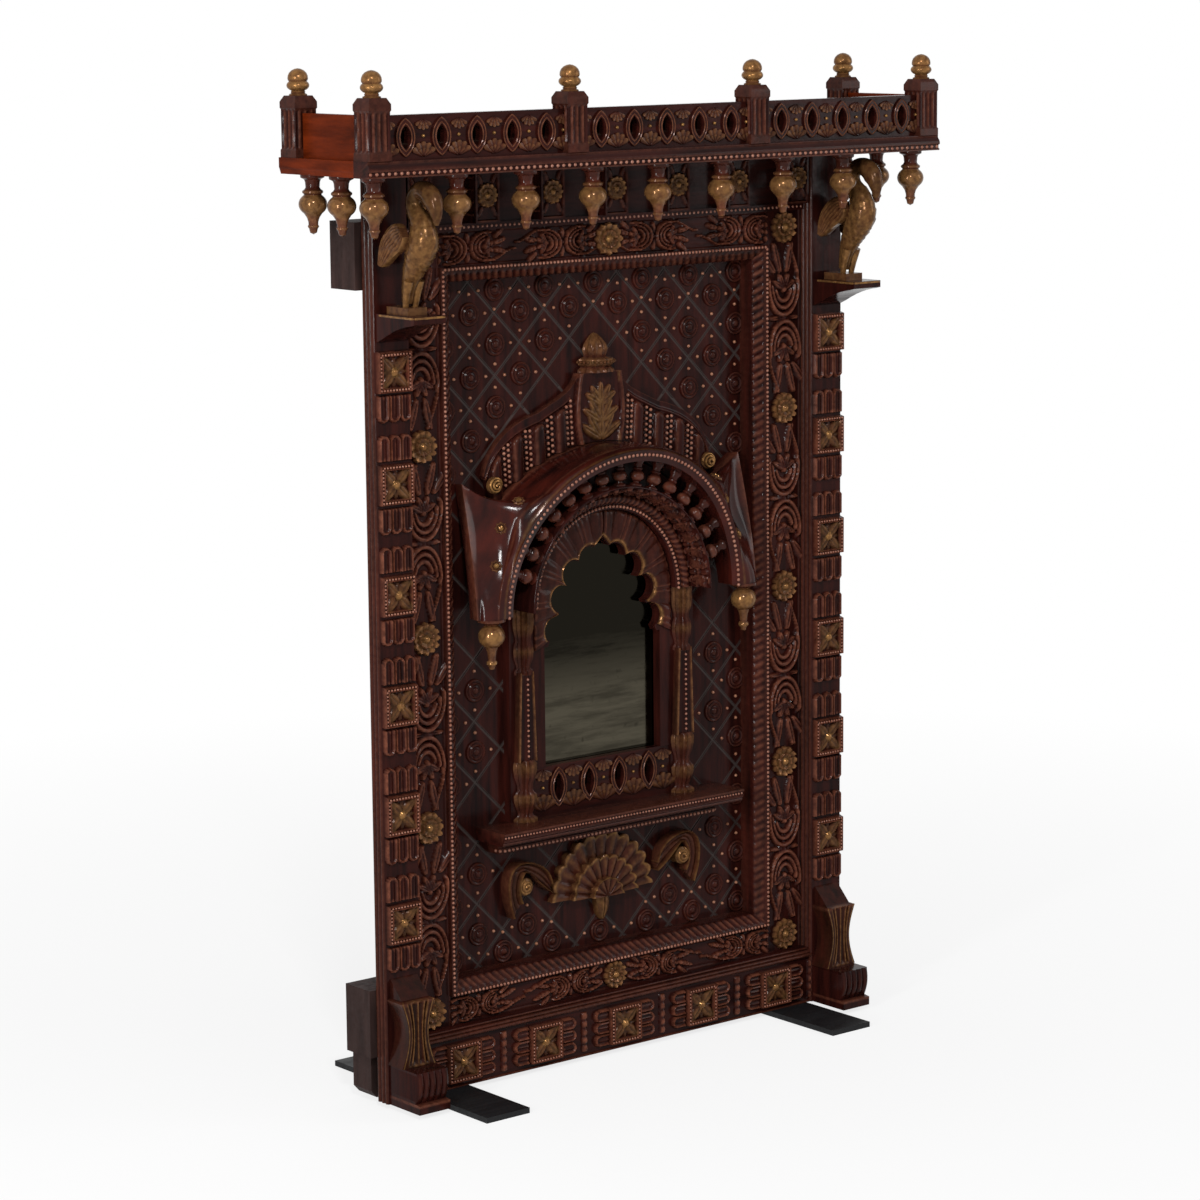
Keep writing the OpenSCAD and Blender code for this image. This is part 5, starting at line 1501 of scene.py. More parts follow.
class JHAROKHA_OT_dome(Piece, bpy.types.Operator):
    """Carve the fluted half dome, its leaf panel, bud and curls"""
    bl_idname = "jharokha.dome"
    bl_label = "Dome"

    half = 196.0
    radius = 291.0
    rise = 101.0
    plate = 11.0
    pitch = 40.0
    first = 26.0
    flute_half = 9.5
    flute_height = 8.0
    panel_edge = 46.0
    lean = 9.0

    def slide(self, z):
        """How far a flute has leant outwards at a height."""
        return self.lean * (z - self.z_base + 90) / 191

    def execute(self, context):
        lo, hi = node_box("dome_fan")
        y_panel = hi[1]
        z_top = hi[2]
        z_base = self.z_base = z_top - self.rise
        shoulder = bend([self.half + 14, z_base - 36], [self.half + 2, z_top - 70], [110, z_top - 50], 20)
        neck = bend([84, z_top - 38], [44, z_top - 22], [38, z_top], 12)
        side = np.concatenate([shoulder, neck])[::-1]
        width = self.half + 13.0
        u, v = grid((-width, width, 330), (0, 1, 84))
        far = np.abs(u)
        upper = np.interp(far, side[:, 0], side[:, 1])
        centre = z_base - self.radius
        lower = centre + np.sqrt(np.maximum((self.radius + 1.5) ** 2 - np.minimum(far, self.half) ** 2, 0))
        outside = far > self.half
        lower = np.where(outside, lower + (upper - 0.5 - lower) * (far - self.half) / 14.0, lower)
        z = lower + (np.maximum(upper, lower + 0.5) - lower) * v
        plate, flute_half = self.plate, self.flute_half
        slide = far - self.slide(z)
        number = np.clip(np.round((slide - self.first) / self.pitch), 1, 4)
        across = slide - self.first - number * self.pitch
        room = upper - 15 - z
        cap = np.hypot(across, np.minimum(room - flute_half, 0))
        flute = ridge(np.where(room < flute_half, cap, across), flute_half, self.flute_height)
        hollow = -1.5 * step(10, 11.5, np.abs(across)) * step(0, 4, room)
        rim = 2.2 * bell(room + 3, 2.5)
        height = plate + np.where(room > 0, flute + np.where(flute > 0.1, 0, hollow), 0) + rim
        middle = slide < self.panel_edge
        panel = plate + 3.0
        for k, level in enumerate((0.05, 0.3, 0.55)):
            reach = z - z_base - level * 100
            for angle in (90, 58, 122, 32, 148):
                leaf = petal(u, reach, angle, 0.0, 44 - 6 * k, 7.5, 5.5)
                panel = np.maximum(panel, plate + 2 + leaf)
        roll = plate + ridge(far - 35 - 6 * np.sin(np.pi * v), 5.0, 7.5)
        height = np.where(middle, np.where(far < 36, panel, plate), height)
        height = np.where(middle, np.maximum(height, roll), height)
        gold = np.where(middle & (far < 34), np.clip((height - plate - 3) / 4, 0, 1) * 0.45, 0)
        height = np.clip(height, 1, y_panel - lo[1])
        rub = np.clip(rubbed(height, 3, 1.6) + 0.5 * step(0.985, 1.0, v), 0, 1)
        front = np.stack([u, y_panel - height, z], -1)
        add_piece("dome_flutes", slab(front, y_panel, rub, gold), "wood_upright", ["dome_fan"])
        bases = [self.first + (k + 0.5) * self.pitch for k in (1, 2, 3)] + [self.panel_edge + 4]
        lines = []
        for sign in (-1, 1):
            for base in bases:
                for shift in (-4.0, 4.0):
                    points = []
                    for z in np.linspace(z_base - 68, z_base + 92, 40):
                        x = base + shift + self.slide(z)
                        ground = centre + math.sqrt((self.radius + 4) ** 2 - min(x, self.half) ** 2)
                        roof = np.interp(x, side[:, 0], side[:, 1]) - 16
                        if ground < z < roof and x < self.half:
                            points.append((sign * x, y_panel - plate - 1.2, z))
                    if len(points) > 3:
                        lines.append(points)
        thread("dome_beads", lines, 7.6, 5.0)
        self.crown(y_panel)
        return {"FINISHED"}

    def crown(self, y_panel):
        """The leafy bud on the dome and the curls at its feet."""
        lo, hi = node_box("dome_finial")
        rise = hi[2] - lo[2]
        r = hi[0]
        collar = 0.27
        profile = [(0, 0), (1, 0), (0.98, 0.06), (0.8, 0.14), (0.96, 0.2), (0.98, collar), (0.94, 0.34),
                   (0.6, 0.4), (0.66, 0.48), (0.7, 0.58), (0.62, 0.7), (0.42, 0.84), (0.2, 0.95), (0, 1)]
        gilt = [0.1, 0.1, 0.2, 0, 0.3, 0.5, 0.3, 0, 0.15, 0.25, 0.3, 0.35, 0.5, 0.6]
        bud = turned([(q * r, h * rise) for q, h in profile], 48, 12, 0.14, 0.4, gilt)
        bud["v"][:, 1] = np.minimum(bud["v"][:, 1], 0.0)
        add_piece("dome_bud", moved(bud, (0, y_panel, lo[2])), "wood_upright", ["dome_finial"])
        ring = half_round(r * 0.99, 0, 0)[:, [0, 2, 1]] * [1, -1, 1] + [0, y_panel, lo[2] + rise * collar]
        thread("dome_bud_beads", [ring], 6.0, 5.0, "wood_gilded")
        lo, hi = node_box("scroll_curls")
        disc = turned([(12, -2), (12, 2), (4, 4), (0, 4.5)], 24, gilt=0.2)
        curl = join([tube(spiral(2.5, 11.2, -3.5, 7, 90), 1.9, 8, 0.3, 0.95),
                     moved(disc, (0, 0, 0), (math.pi / 2, 0, 0))])
        part = moved(curl, (hi[0] - 13, hi[1], (lo[2] + hi[2]) / 2))
        add_piece("gold_curls", join([part, mirrored(part)]), "wood_gilded", ["scroll_curls"])


class JHAROKHA_OT_shelf(Piece, bpy.types.Operator):
    """Mould the window shelf and the beaded strip under it"""
    bl_idname = "jharokha.shelf"
    bl_label = "Shelf"

    strip_lip = 7.0
    strip_corner = 10.0
    strip_groove = 2.0

    def execute(self, context):
        lo, hi = node_box("window_shelf")
        # Distance behind the front edge, height over the underside and rub of the moulding's points
        face = np.array([(8, 0, 0), (5, 1.5, 0.2), (4.2, 4, 0.3), (5, 5.5, 0), (3, 6.5, 0.2), (2.4, 8.5, 0.2),
                         (1, 9.5, 0.3), (2.5, 11, 0), (2.5, 15, 0), (0, 16, 0.3)])
        thick = hi[2] - lo[2]
        deep = hi[1] - lo[1]
        upper = [(0, thick - 1.2, 0.5), (1.2, thick, 0.4), (deep, thick, 0.05)]
        line = np.concatenate([[(deep, 0, 0)], face, upper])
        moulding = loft(along_x(line[:, :2] + lo[1:], lo[0], hi[0], 50), line[None, :, 2])
        add_piece("shelf_moulding", moulding, "wood_across", ["window_shelf"], sharp=30)
        y, z = lo[1] + 2.6, lo[2] + 13
        thread("shelf_beads", [[(lo[0] + 3, y, z), (hi[0] - 3, y, z)]], 5.6, 3.6)
        lo, hi = node_box("dentil_strip")
        front = lo[1] + self.strip_lip
        end = self.strip_corner
        tall = hi[2] - lo[2]
        a = np.linspace(0, np.pi / 2, 8)
        corner = np.column_stack([hi[0] - end + end * np.sin(a), front + end - end * np.cos(a)])
        edge = np.concatenate([corner[::-1], corner * [-1, 1]])
        outline = np.concatenate([[[hi[0], hi[1]]], edge, [[lo[0], hi[1]]]])
        groove = self.strip_groove
        levels = [(0, groove), (0.05, 0), (0.42, 0), (0.46, groove), (0.54, groove), (0.58, 0), (0.95, 0),
                  (1, groove)]
        rings = []
        for share, inset in levels:
            ring = outline.copy()
            ring[:, 1] = np.where(ring[:, 1] < hi[1] - 0.1, ring[:, 1] + inset, ring[:, 1])
            rings.append(np.column_stack([ring, np.full(len(ring), lo[2] + tall * share)]))
        add_piece("strip_under_shelf", loft(rings, 0.12), "wood_across", ["dentil_strip"], sharp=30)
        rows = [[(x, y, lo[2] + tall * share) for x, y in edge] for share in (0.24, 0.76)]
        thread("strip_beads", rows, 7.2, 4.8)
        return {"FINISHED"}


class JHAROKHA_OT_shell(Piece, bpy.types.Operator):
    """Carve the layered shell and the leaf scrolls beside it"""
    bl_idname = "jharokha.shell"
    bl_label = "Shell and scrolls"

    fan_radius = 96.0
    scroll_points = 80

    def fan(self, radius, lobes, low, high, y_panel, root):
        """A ribbed fan that stands between two heights over the panel."""
        a, v = grid((-1, 1, lobes * 9), (0.06, 1, 34))
        lobe = np.abs(np.cos(a * np.pi / 2 * (lobes - 1)))
        reach = radius * (0.91 + 0.09 * lobe ** 0.7) * v
        angle = np.radians(a * 88)
        rib = 0.45 + 0.55 * lobe ** 0.8
        height = low + (high - low) * rib * (0.45 + 0.55 * np.sin(np.pi * np.clip(v, 0, 1) * 0.62))
        edge = bell(v - 0.965, 0.03)
        height = height + 1.6 * edge
        front = np.stack([reach * np.sin(angle), y_panel - height, root + reach * np.cos(angle)], -1)
        gilt = np.clip(0.04 + 0.22 * lobe ** 6 * v + 0.6 * edge, 0, 1)
        return slab(front, y_panel + 0.3, 0.25 * lobe ** 2, gilt)

    def execute(self, context):
        y_panel, z_top = node_box("shell")[1][1:]
        root = z_top - self.fan_radius
        a, v = grid((-1, 1, 21), (0.02, 0.98, 30))
        swell = np.sin(np.pi * v)
        height = 16 * np.sqrt(np.clip(1 - (0.8 * a) ** 2, 0, 1)) * (0.6 + 0.4 * swell)
        height = height - 2.5 * bell(a, 0.12)
        front = np.stack([12 * np.sqrt(swell) * a, y_panel - height, root - 38 + 56 * v], -1)
        leaf = slab(front, y_panel + 0.3, rubbed(height, 2, 1.0), 0.35 + 0.4 * rubbed(height, 2, 1.2))
        sizes = ((self.fan_radius, 13, 4.0, 10.0), (62, 11, 11.0, 18.0), (29, 7, 19.0, 25.0))
        layers = [self.fan(*size, y_panel, root) for size in sizes]
        add_piece("shell_fans", join(layers + [leaf]), "wood_upright", ["shell"])
        scroll = self.scroll(y_panel, root)
        add_pair("leaf_scroll", scroll, "wood_upright", "shell_scroll")
        return {"FINISHED"}

    def scroll(self, y_panel, root):
        """The leaf scroll at the right of the shell: a ribbed wave with a curl in its bend."""
        count = self.scroll_points
        over = np.concatenate([bend([4, 35], [8, 67], [49, 74]), bend([64, 74], [100, 63], [75, -7])])
        under = np.concatenate([bend([57, 15], [70, 37], [54, 59]), bend([44, 57], [26, 33], [4, 21])])
        over, under = spread_out(over, count), spread_out(under[::-1], count)
        run, u = grid((0, 1, count), (0, 1, 17))
        line = over[:, None, :] * (1 - u[..., None]) + under[:, None, :] * u[..., None]
        rim = bell(np.abs(2 * u - 1) - 0.86, 0.14)
        ribs = np.abs(np.cos(3 * np.pi * u))
        height = 11 + 6.5 * rim + 2.5 * ribs + 1.5 * np.sin(np.pi * run)
        front = np.stack([self.fan_radius + line[..., 0], y_panel - height, root + line[..., 1]], -1)
        wave = slab(front, y_panel + 0.3, 0.25 * ribs, np.clip(0.05 + 0.45 * rim ** 3, 0, 1))
        disc = turned([(13, -0.3), (13, 16), (9, 19), (0, 20)], 26, gilt=0.4)
        curl = join([tube(spiral(2.2, 11.0, -17, 4.0, 80), 2.2, 8, 0.3, 0.8),
                     moved(disc, (0, 0, 0), (math.pi / 2, 0, 0))])
        return join([wave, moved(curl, (self.fan_radius + 52, y_panel, root + 37))])


# Balcony

class JHAROKHA_OT_frieze(Piece, bpy.types.Operator):
    """Carve the frieze blocks and finish the frieze board"""
    bl_idname = "jharokha.frieze"
    bl_label = "Frieze"

    count = 7
    width = 42.0
    flower = 17.0
    cell = 1.6
    rods = 4

    def execute(self, context):
        paint("wood_across", "frieze_board")
        lo, hi = node_box("frieze_blocks")
        half = self.width / 2
        y_front, y_back = lo[1] + 6.0, hi[1]
        x, z = field_grid(-half, half, lo[2], hi[2], self.cell)
        t = z - (lo[2] + hi[2]) / 2
        flower, gilt = rosette_relief(x, t, self.flower, 5.5)
        border = np.minimum(half - np.abs(x), (hi[2] - lo[2]) / 2 - np.abs(t))
        height = np.where(border < 4, 3.0, 0.0)
        for angle in (62, 118, 242, 298):
            height = np.maximum(height, petal(x, t, angle, self.flower, 17.0, 4.0, 3.2))
        parts = [carved_board(x, z, np.maximum(height, flower), y_front, y_back, gilt)]
        for side in (-half, half):
            for k in range(self.rods):
                level = lo[2] + 12 + k * 17
                parts.append(tube([(side, y_back, level), (side, y_front + 1, level)], 2.2, 8, 0.35))
        pitch = (hi[0] - lo[0] - self.width) / (self.count - 1)
        places = upright([((i - self.count // 2) * pitch, 0, 0) for i in range(self.count)])
        set_out("frieze_flowers", join(parts), places, "wood_upright", ["frieze_blocks"])
        lo, hi = node_box("frieze_board")
        y, z = lo[1] + 1, lo[2] + 5
        thread("frieze_beads", [[(lo[0] + 4, y, z), (hi[0] - 4, y, z)]], 8.0, 4.6)
        return {"FINISHED"}


class JHAROKHA_OT_birds(Piece, bpy.types.Operator):
    """Carve the birds with their feathers and wings, and trim their corbels"""
    bl_idname = "jharokha.birds"
    bl_label = "Birds and corbels"

    # Forward of the pilaster, height over the corbel and radius, from the legs to the tip of the beak
    spine = [(28, 16, 8.5), (32, 36, 11), (42, 58, 16), (57, 82, 22), (66, 101, 23), (62, 122, 18),
             (49, 139, 13), (46, 154, 12), (57, 166, 12), (76, 165, 14), (90, 153, 14), (96, 136, 9),
             (96, 122, 3.5)]
    # Forward of the pilaster and height over the corbel, from the shoulder to the tip of the wing
    wing_line = [(54, 112), (38, 104), (20, 90), (4, 66)]
    wing_half = 19.0
    wing_points = 40
    feather_row = 9.0
    sides = 26

    def body(self, y_face, z_foot):
        """The bird from the legs to the beak, with rows of feathers on its breast and neck."""
        line = smooth_line(self.spine, 150)
        path = np.stack([0 * line[:, 0], y_face - line[:, 0], z_foot + line[:, 1]], -1)
        tangent = np.gradient(path, axis=0)
        tangent /= np.linalg.norm(tangent, axis=1)[:, None]
        a = np.linspace(0, 2 * np.pi, self.sides, endpoint=False)
        run = np.concatenate([[0], np.cumsum(np.linalg.norm(np.diff(path, axis=0), axis=1))])
        side = np.array([1.0, 0, 0])
        rings, rubs, golds = [], [], []
        for point, way, radius, at in zip(path, tangent, line[:, 2], run):
            front = np.cross(side, way)
            row = np.floor(at / self.feather_row)
            rise = (at / self.feather_row) % 1.0
            feather = np.abs(np.sin(a * self.sides / 4.0 + (row % 2) * np.pi / 2)) * rise
            share = step(20, 60, at) * step(150, 105, at)
            r = max(radius, 1.5) + 1.5 * share * (feather - 0.45)
            rings.append(point + (r * np.cos(a))[:, None] * side * 0.86 + (r * np.sin(a))[:, None] * front)
            rubs.append(0.3 * feather * share)
            golds.append(np.clip(0.5 - 0.2 * step(150, 190, at) + 0.35 * feather * share, 0, 0.9))
        return loft(rings, rubs, golds)

    def wing(self, y_face, z_foot):
        """The wing on the right of the body, drawn flat and then turned to the side."""
        count = self.wing_points
        u, v = grid((-1, 1, 23), (0.03, 0.97, count))
        centre = smooth_line(self.wing_line, count)
        across = np.stack([np.gradient(centre[:, 1]), -np.gradient(centre[:, 0])], -1)
        across /= np.linalg.norm(across, axis=1)[:, None]
        width = self.wing_half * np.sqrt(np.sin(np.pi * v ** 0.8))
        ribs = np.abs(np.sin(np.pi * (3.5 * u + 0.5 + v)))
        out = 24 + ridge(u, 1, 5) + 1.6 * ribs
        y = y_face - (centre[None, :, 0] + across[None, :, 0] * width * u)
        z = z_foot + centre[None, :, 1] + across[None, :, 1] * width * u
        gilt = np.clip(0.1 + 0.35 * ribs + 0.4 * bell(np.abs(u) - 0.95, 0.1), 0, 1)
        flat = slab(np.stack([y, -out, z], -1), -17.0, 0.5 * ribs, gilt)
        return {**flat, "v": flat["v"][:, [1, 0, 2]] * [-1, 1, 1]}

    def execute(self, context):
        corbel_lo, corbel_hi = node_box("bird_corbel_right")
        middle = (corbel_lo[0] + corbel_hi[0]) / 2
        y_face = node_box("pilaster_right")[0][1]
        z_foot = corbel_hi[2]
        wing = self.wing(y_face, z_foot)
        legs = []
        for s in (-1, 1):
            leg = [(s * 9, y_face - 44, z_foot + 46), (s * 9, y_face - 38, z_foot + 26),
                   (s * 8, y_face - 34, z_foot + 8)]
            legs.append(tube(leg, [7.0, 5.0, 4.0], 10, 0.2, 0.75))
        plan = ((-16, 2), (16, 2), (16, 50), (-16, 50))
        base = loft([[(x, y_face - y, z_foot + z) for x, y in plan] for z in (0, 10)], 0.3, 0.3)
        bird = moved(join([self.body(y_face, z_foot), wing, mirrored(wing), base] + legs), (middle, 0, 0))
        add_pair("bird_carving", bird, "wood_upright", "bird")
        paint("wood_upright", "bird_corbel_left", "bird_corbel_right")
        y, z, half = corbel_lo[1], z_foot - 2, (corbel_hi[0] - corbel_lo[0]) / 2
        rim = [(-half, y_face, z), (-half, y, z), (half, y, z), (half, y_face, z)]
        trim = tube(spread_out(rim, 40), 1.6, 6, 0.4, 0.8)
        trims = [moved(trim, (s * middle, 0, 0)) for s in (-1, 1)]
        add_piece("corbel_edges", join(trims), "wood_gilded")
        return {"FINISHED"}


class JHAROKHA_OT_balcony(Piece, bpy.types.Operator):
    """Mould the balcony base, flute the posts and trim the railings"""
    bl_idname = "jharokha.balcony"
    bl_label = "Balcony"

    post_half = 18.0
    inner_post = 165.3
    post_cells = 16
    drop_radius = 19.5
    drop_pitch = 117.0
    end_drop = 73.0
    hole_count = 5

    def base(self):
        """The moulding along the front, its bead row and the plain ends."""
        lo, hi = node_box("base_front")
        tall = hi[2] - lo[2]
        # Distance behind the front, depth under the top as a share of the height, and rub
        line = np.array([(36, 0, 0), (4.5, 0, 0), (4.0, 0.06, 0.3), (4.4, 0.14, 0.2), (3.0, 0.24, 0),
                         (1.2, 0.34, 0), (0.2, 0.46, 0.1), (0.0, 0.56, 0.4), (0.8, 0.62, 0.3), (3.0, 0.66, 0),
                         (3.0, 0.86, 0), (1.0, 0.9, 0.3), (1.0, 0.97, 0.5), (1.6, 1.0, 0.4), (36, 1.0, 0.1)])
        outline = np.column_stack([lo[1] + line[:, 0], lo[2] + tall * (1 - line[:, 1])])
        moulding = loft(along_x(outline, lo[0], hi[0], 2), line[None, :, 2])
        add_piece("base_moulding", moulding, "wood_across", ["base_front"], sharp=30)
        # The base ends take the end panels' orange-red, which is partly painted light.
        paint("red_panel", "base_end_left", "base_end_right")
        z = lo[2] + tall * 0.24
        inset = 3.6
        row = [(lo[0] + inset, lo[1] + inset, z), (hi[0] - inset, lo[1] + inset, z)]
        thread("base_beads", [row], 10.0, 5.6)

    def posts(self):
        """Square fluted posts, and the gold finials on them."""
        lo, hi = node_box("balcony_posts")
        half, cells = self.post_half, self.post_cells
        x_out, front, back = hi[0] - half, lo[1] + half, hi[1] - half
        edge = np.linspace(-1, 1, cells + 1)[:-1]
        side = np.column_stack([edge, -np.ones(cells)])
        turns = [np.array([[c, s], [-s, c]]) for c, s in ((1, 0), (0, 1), (-1, 0), (0, -1))]
        square = np.concatenate([side @ turn for turn in turns])
        inward = np.concatenate([np.tile([0, 1] @ turn, (cells, 1)) for turn in turns])
        flute = np.clip(1 - ((np.abs(edge * 15) % 8 - 4) / 2.6) ** 2, 0, 1) ** 0.5 * (np.abs(edge) < 0.8)
        flute, flat = np.tile(flute, 4), np.tile(np.abs(edge) < 0.86, 4)
        # Share of the height, size of the square and whether it is fluted there
        levels = [(0, 1.0, 0), (0.12, 1.0, 0), (0.14, 0.94, 0), (0.18, 0.94, 1), (0.5, 0.94, 1),
                  (0.74, 0.94, 1), (0.78, 0.94, 0), (0.8, 1.0, 0), (0.9, 1.0, 0), (1.0, 0.76, 0)]
        rings, rubs = [], []
        for share, scale, carve in levels:
            ring = square * half * scale + inward * (2.2 * carve * flute)[:, None]
            rings.append(np.column_stack([ring, np.full(len(ring), share * (hi[2] - lo[2]))]))
            rubs.append(0.65 * (1 - flute) * carve * flat + 0.25 * (1 - carve))
        post = loft(rings, rubs)
        spots = [(s * x, front) for x in (self.inner_post, x_out) for s in (-1, 1)]
        spots += [(s * x_out, back) for s in (-1, 1)]
        places = upright([(x, y, lo[2]) for x, y in spots])
        set_out("fluted_posts", post, places, "wood_upright", ["balcony_posts"], sharp=30)
        lo, hi = node_box("balcony_finials")
        rise = hi[2] - lo[2]
        profile = [(0, 0), (12, 0), (12.4, 0.04), (9.4, 0.09), (10, 0.13)] + belly(15.4, 0.37, 0.24, -55, 36)
        profile += [(12.2, 0.53), (13.4, 0.56), (13.9, 0.63), (13.4, 0.73), (11.8, 0.83), (8.6, 0.92),
                    (4.2, 0.98), (0, 1)]
        gilt = [0.1, 0.1, 0.3, 0, 0.1] + [0.75] * 13 + [0, 0.3, 0.6, 0.6, 0.6, 0.6, 0.7, 0.7]
        ball = turned([(r, h * rise) for r, h in profile], 26, rub=0.3, gilt=gilt)
        places = upright([(x, y, lo[2]) for x, y in spots])
        set_out("gold_finials", ball, places, "wood_gilded", ["balcony_finials"])

    def drops(self):
        """Turned drops under the front and the ends."""
        lo, hi = node_box("balcony_drops")
        rise = hi[2] - lo[2]
        r = self.drop_radius
        x_out, y_front, y_back = hi[0] - r, lo[1] + r, hi[1] - r
        profile = [(0, 0), (16.4, 0), (16.6, 0.03), (16.2, 0.06), (11.5, 0.09), (10.2, 0.13), (9.6, 0.22),
                   (11, 0.25), (14.2, 0.28), (14.2, 0.31), (12, 0.335)] + belly(r, 0.5, -0.195, 50, -50)
        profile += [(8.6, 0.72), (6.8, 0.79), (6.6, 0.84), (7.6, 0.855), (7.6, 0.875), (6.0, 0.9),
                    (4.6, 0.97), (0, 1)]
        gilt = [0] * 8 + [0.35, 0.3, 0] + [0.7] * 13 + [0.35, 0.2, 0.1, 0.4, 0.4, 0.1, 0.3, 0.5]
        part = turned([(q, -h * rise) for q, h in profile], 28, rub=[0.25] * 24 + [0.6] * 8, gilt=gilt)
        along = [k * self.drop_pitch for k in (1, 2, 3)] + [x_out]
        spots = [(0, y_front)] + [(s * x, y_front) for x in along for s in (-1, 1)]
        spots += [(s * x_out, y) for y in (y_front + self.end_drop, y_back) for s in (-1, 1)]
        places = upright([(x, y, hi[2]) for x, y in spots])
        set_out("turned_drops", part, places, "wood_smooth", ["balcony_drops"])

    def railing(self, node):
        """Trim on a pierced railing, with a strip of mirror behind its holes. The strip stands partly for
        glass in the holes and partly for painted shade that darkens them.
        """
        paint("wood_across", node)
        lo, hi = node_box(node)
        pitch = (hi[0] - lo[0]) / self.hole_count
        middle = (lo[0] + hi[0]) / 2
        z = (lo[2] + hi[2]) / 2
        holes = [(middle + (i - self.hole_count // 2) * pitch, lo[1], z) for i in range(self.hole_count)]
        pierced_rail(node + "_trim", holes, pitch, 17, 32, hi[2] - lo[2])
        # A dark mirror strip behind the holes: partly glass, partly painted shade in the holes.
        x, z = field_grid(lo[0] + 1, hi[0] - 1, lo[2] + 6, hi[2] - 6, 20)
        strip = slab(np.stack([x, 0 * x + hi[1], z], -1), hi[1] + 1.5)
        add_piece(node + "_glass", strip, "old_mirror")

    def execute(self, context):
        self.base()
        self.posts()
        self.drops()
        # The end panels' orange-red is partly their own red and partly painted light.
        paint("red_panel", "end_panel_left", "end_panel_right")
        for name in ("left", "middle", "right"):
            self.railing("railing_" + name)
        return {"FINISHED"}


# Stage

def split_by_ray(tree, first, second):
    """The first shader for what the camera, a mirror or a glass sees, and the second for the light."""
    path = tree.nodes.new("ShaderNodeLightPath")
    seen = add_math(tree, "MAXIMUM", path.outputs["Is Camera Ray"], path.outputs["Is Glossy Ray"])
    seen = add_math(tree, "MAXIMUM", seen, path.outputs["Is Transmission Ray"])
    mix = tree.nodes.new("ShaderNodeMixShader")
    tree.links.new(seen, mix.inputs[0])
    tree.links.new(second, mix.inputs[1])
    tree.links.new(first, mix.inputs[2])
    return mix.outputs[0]


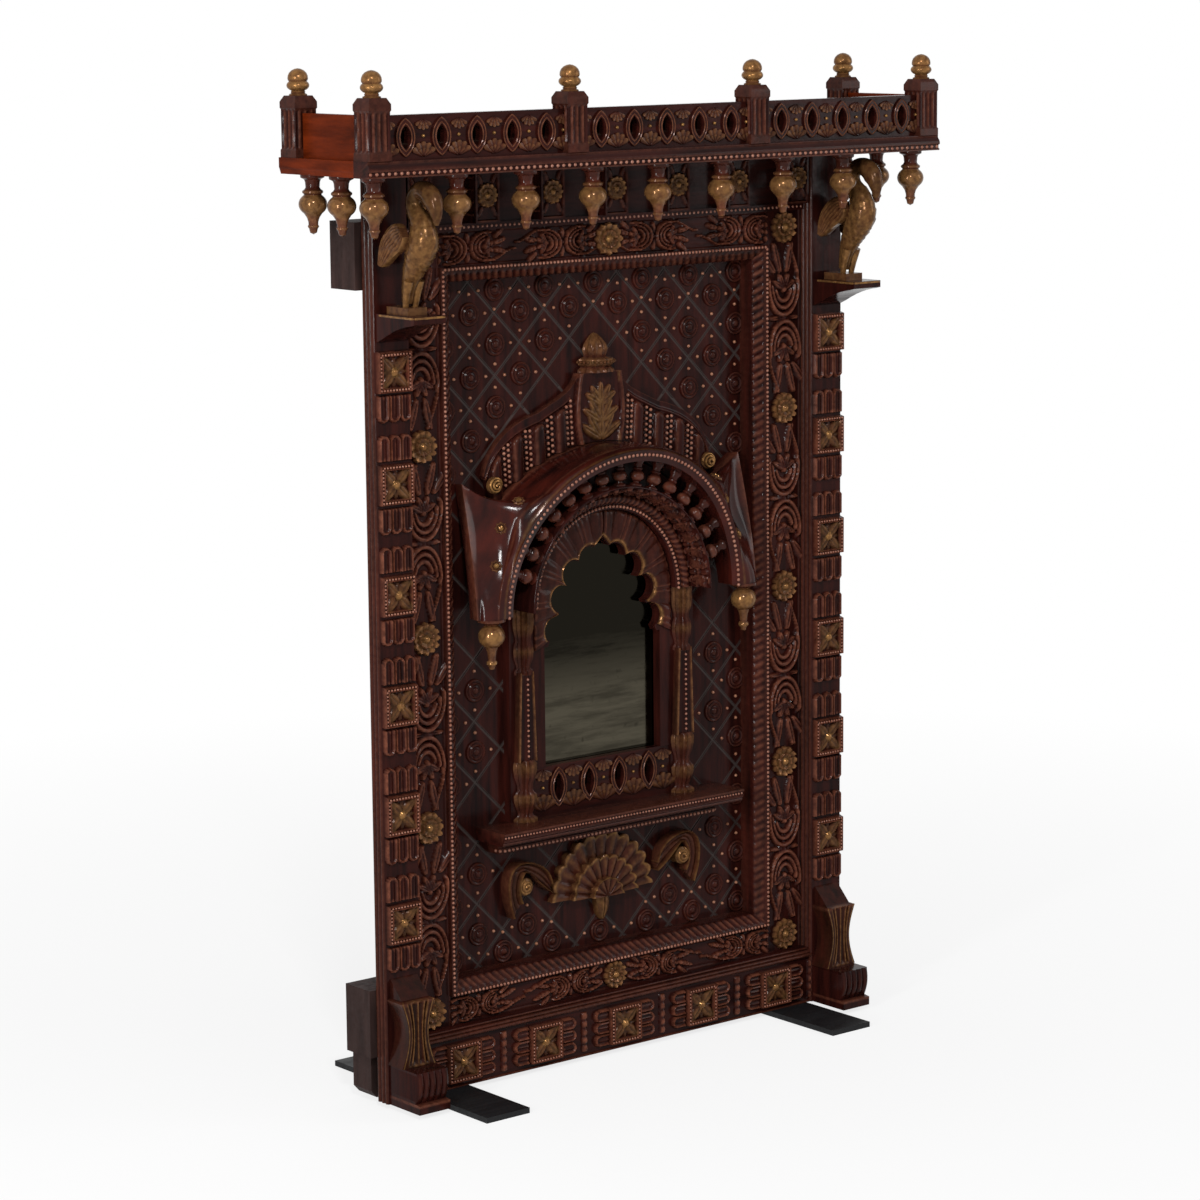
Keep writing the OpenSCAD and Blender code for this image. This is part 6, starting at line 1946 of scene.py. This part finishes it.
class JHAROKHA_OT_stage(Piece, bpy.types.Operator):
    """Set the floor, the light and the camera of the photograph"""
    bl_idname = "jharokha.stage"
    bl_label = "Stage"

    def floor(self):
        mesh = bpy.data.meshes.new("floor")
        far = 30.0
        mesh.from_pydata([(-far, -far, 0), (far, -far, 0), (far, far, 0), (-far, far, 0)], [], [(0, 1, 2, 3)])
        obj = add_object("floor", mesh)
        material, tree, shader = new_finish("pale_floor")
        shader.inputs["Base Color"].default_value = grey(0.86)
        shader.inputs["Roughness"].default_value = 0.9
        glow = tree.nodes.new("ShaderNodeEmission")
        glow.inputs["Strength"].default_value = 1.0
        both = tree.nodes.new("ShaderNodeMixShader")
        place = tree.nodes.new("ShaderNodeTexCoord")
        away = tree.nodes.new("ShaderNodeVectorMath")
        away.operation = "LENGTH"
        tree.links.new(place.outputs["Object"], away.inputs[0])
        share = add_math(tree, "DIVIDE", away.outputs["Value"], 2.6)
        share = add_ramp(tree, share, [(0.2, grey(0.78)), (1.0, grey(1.0))])
        tree.links.new(share, both.inputs[0])
        tree.links.new(shader.outputs[0], both.inputs[1])
        tree.links.new(glow.outputs[0], both.inputs[2])
        out = tree.nodes["Material Output"]
        tree.links.new(split_by_ray(tree, both.outputs[0], shader.outputs[0]), out.inputs["Surface"])
        mesh.materials.append(material)

    def light(self, name, place, target, size, watts):
        data = bpy.data.lights.new(name, "AREA")
        data.shape = "RECTANGLE"
        data.size, data.size_y = size
        data.energy = watts
        obj = add_object(name, data)
        obj.location = place
        obj.rotation_euler = (Vector(target) - Vector(place)).to_track_quat("-Z", "Y").to_euler()

    def execute(self, context):
        scene = context.scene
        setting = scene.jharokha_stage
        self.floor()
        world = bpy.data.worlds.new("studio")
        world.use_nodes = True
        scene.world = world
        tree = world.node_tree
        tree.nodes.clear()
        seen, lit = tree.nodes.new("ShaderNodeBackground"), tree.nodes.new("ShaderNodeBackground")
        seen.inputs["Color"].default_value = grey(1.0)
        lit.inputs["Color"].default_value = grey(1.0)
        lit.inputs["Strength"].default_value = setting.sky
        out = tree.nodes.new("ShaderNodeOutputWorld")
        tree.links.new(split_by_ray(tree, seen.outputs[0], lit.outputs[0]), out.inputs["Surface"])
        target = (0, 0, 0.75)
        self.light("key", (-2.2, -3.2, 3.4), target, (0.5, 0.5), setting.key)
        self.light("side", (-3.8, -1.5, 1.5), target, (0.36, 1.7), setting.side)
        self.light("fill", (3.2, -2.6, 2.0), target, (1.2, 2.2), setting.fill)
        azimuth, elevation, roll = (math.radians(v) for v in setting.camera_turn)
        level = math.cos(elevation)
        back = Vector((math.sin(azimuth) * level, -math.cos(azimuth) * level, math.sin(elevation)))
        right = Vector((0, 0, 1)).cross(back).normalized()
        up = back.cross(right)
        turned_right = right * math.cos(roll) + up * math.sin(roll)
        turned_up = up * math.cos(roll) - right * math.sin(roll)
        data = bpy.data.cameras.new("camera")
        data.lens = setting.lens
        data.sensor_width = 36.0
        camera = add_object("camera", data)
        axes = Matrix((turned_right, turned_up, back)).transposed().to_4x4()
        camera.matrix_world = Matrix.Translation(setting.camera_place) @ axes
        scene.camera = camera
        scene.view_settings.view_transform = "Standard"
        return {"FINISHED"}


class JHAROKHA_PT_panel(bpy.types.Panel):
    """Buttons for each group of pieces, with their sizes and colours"""
    bl_label = "Jharokha"
    bl_idname = "JHAROKHA_PT_panel"
    bl_space_type = "VIEW_3D"
    bl_region_type = "UI"
    bl_category = "Jharokha"

    def draw(self, context):
        for setting in SETTINGS:
            group = getattr(context.scene, setting)
            box = self.layout.box()
            for name in group.__annotations__:
                box.prop(group, name)
        for operator in OPERATORS:
            self.layout.operator(operator.bl_idname)


SETTINGS = {"jharokha_finish": JharokhaFinish, "jharokha_carving": JharokhaCarving,
            "jharokha_stage": JharokhaStage}
# The operators, in the order in which they stand above
OPERATORS = tuple(Piece.__subclasses__())
CLASSES = tuple(SETTINGS.values()) + OPERATORS + (JHAROKHA_PT_panel,)


def register():
    for cls in CLASSES:
        bpy.utils.register_class(cls)
    for name, group in SETTINGS.items():
        setattr(bpy.types.Scene, name, bpy.props.PointerProperty(type=group))


def unregister():
    for name in SETTINGS:
        delattr(bpy.types.Scene, name)
    for cls in reversed(CLASSES):
        bpy.utils.unregister_class(cls)


def main():
    register()
    for operator in OPERATORS:
        group, name = operator.bl_idname.split(".")
        getattr(getattr(bpy.ops, group), name)()


if __name__ == "__main__":
    main()
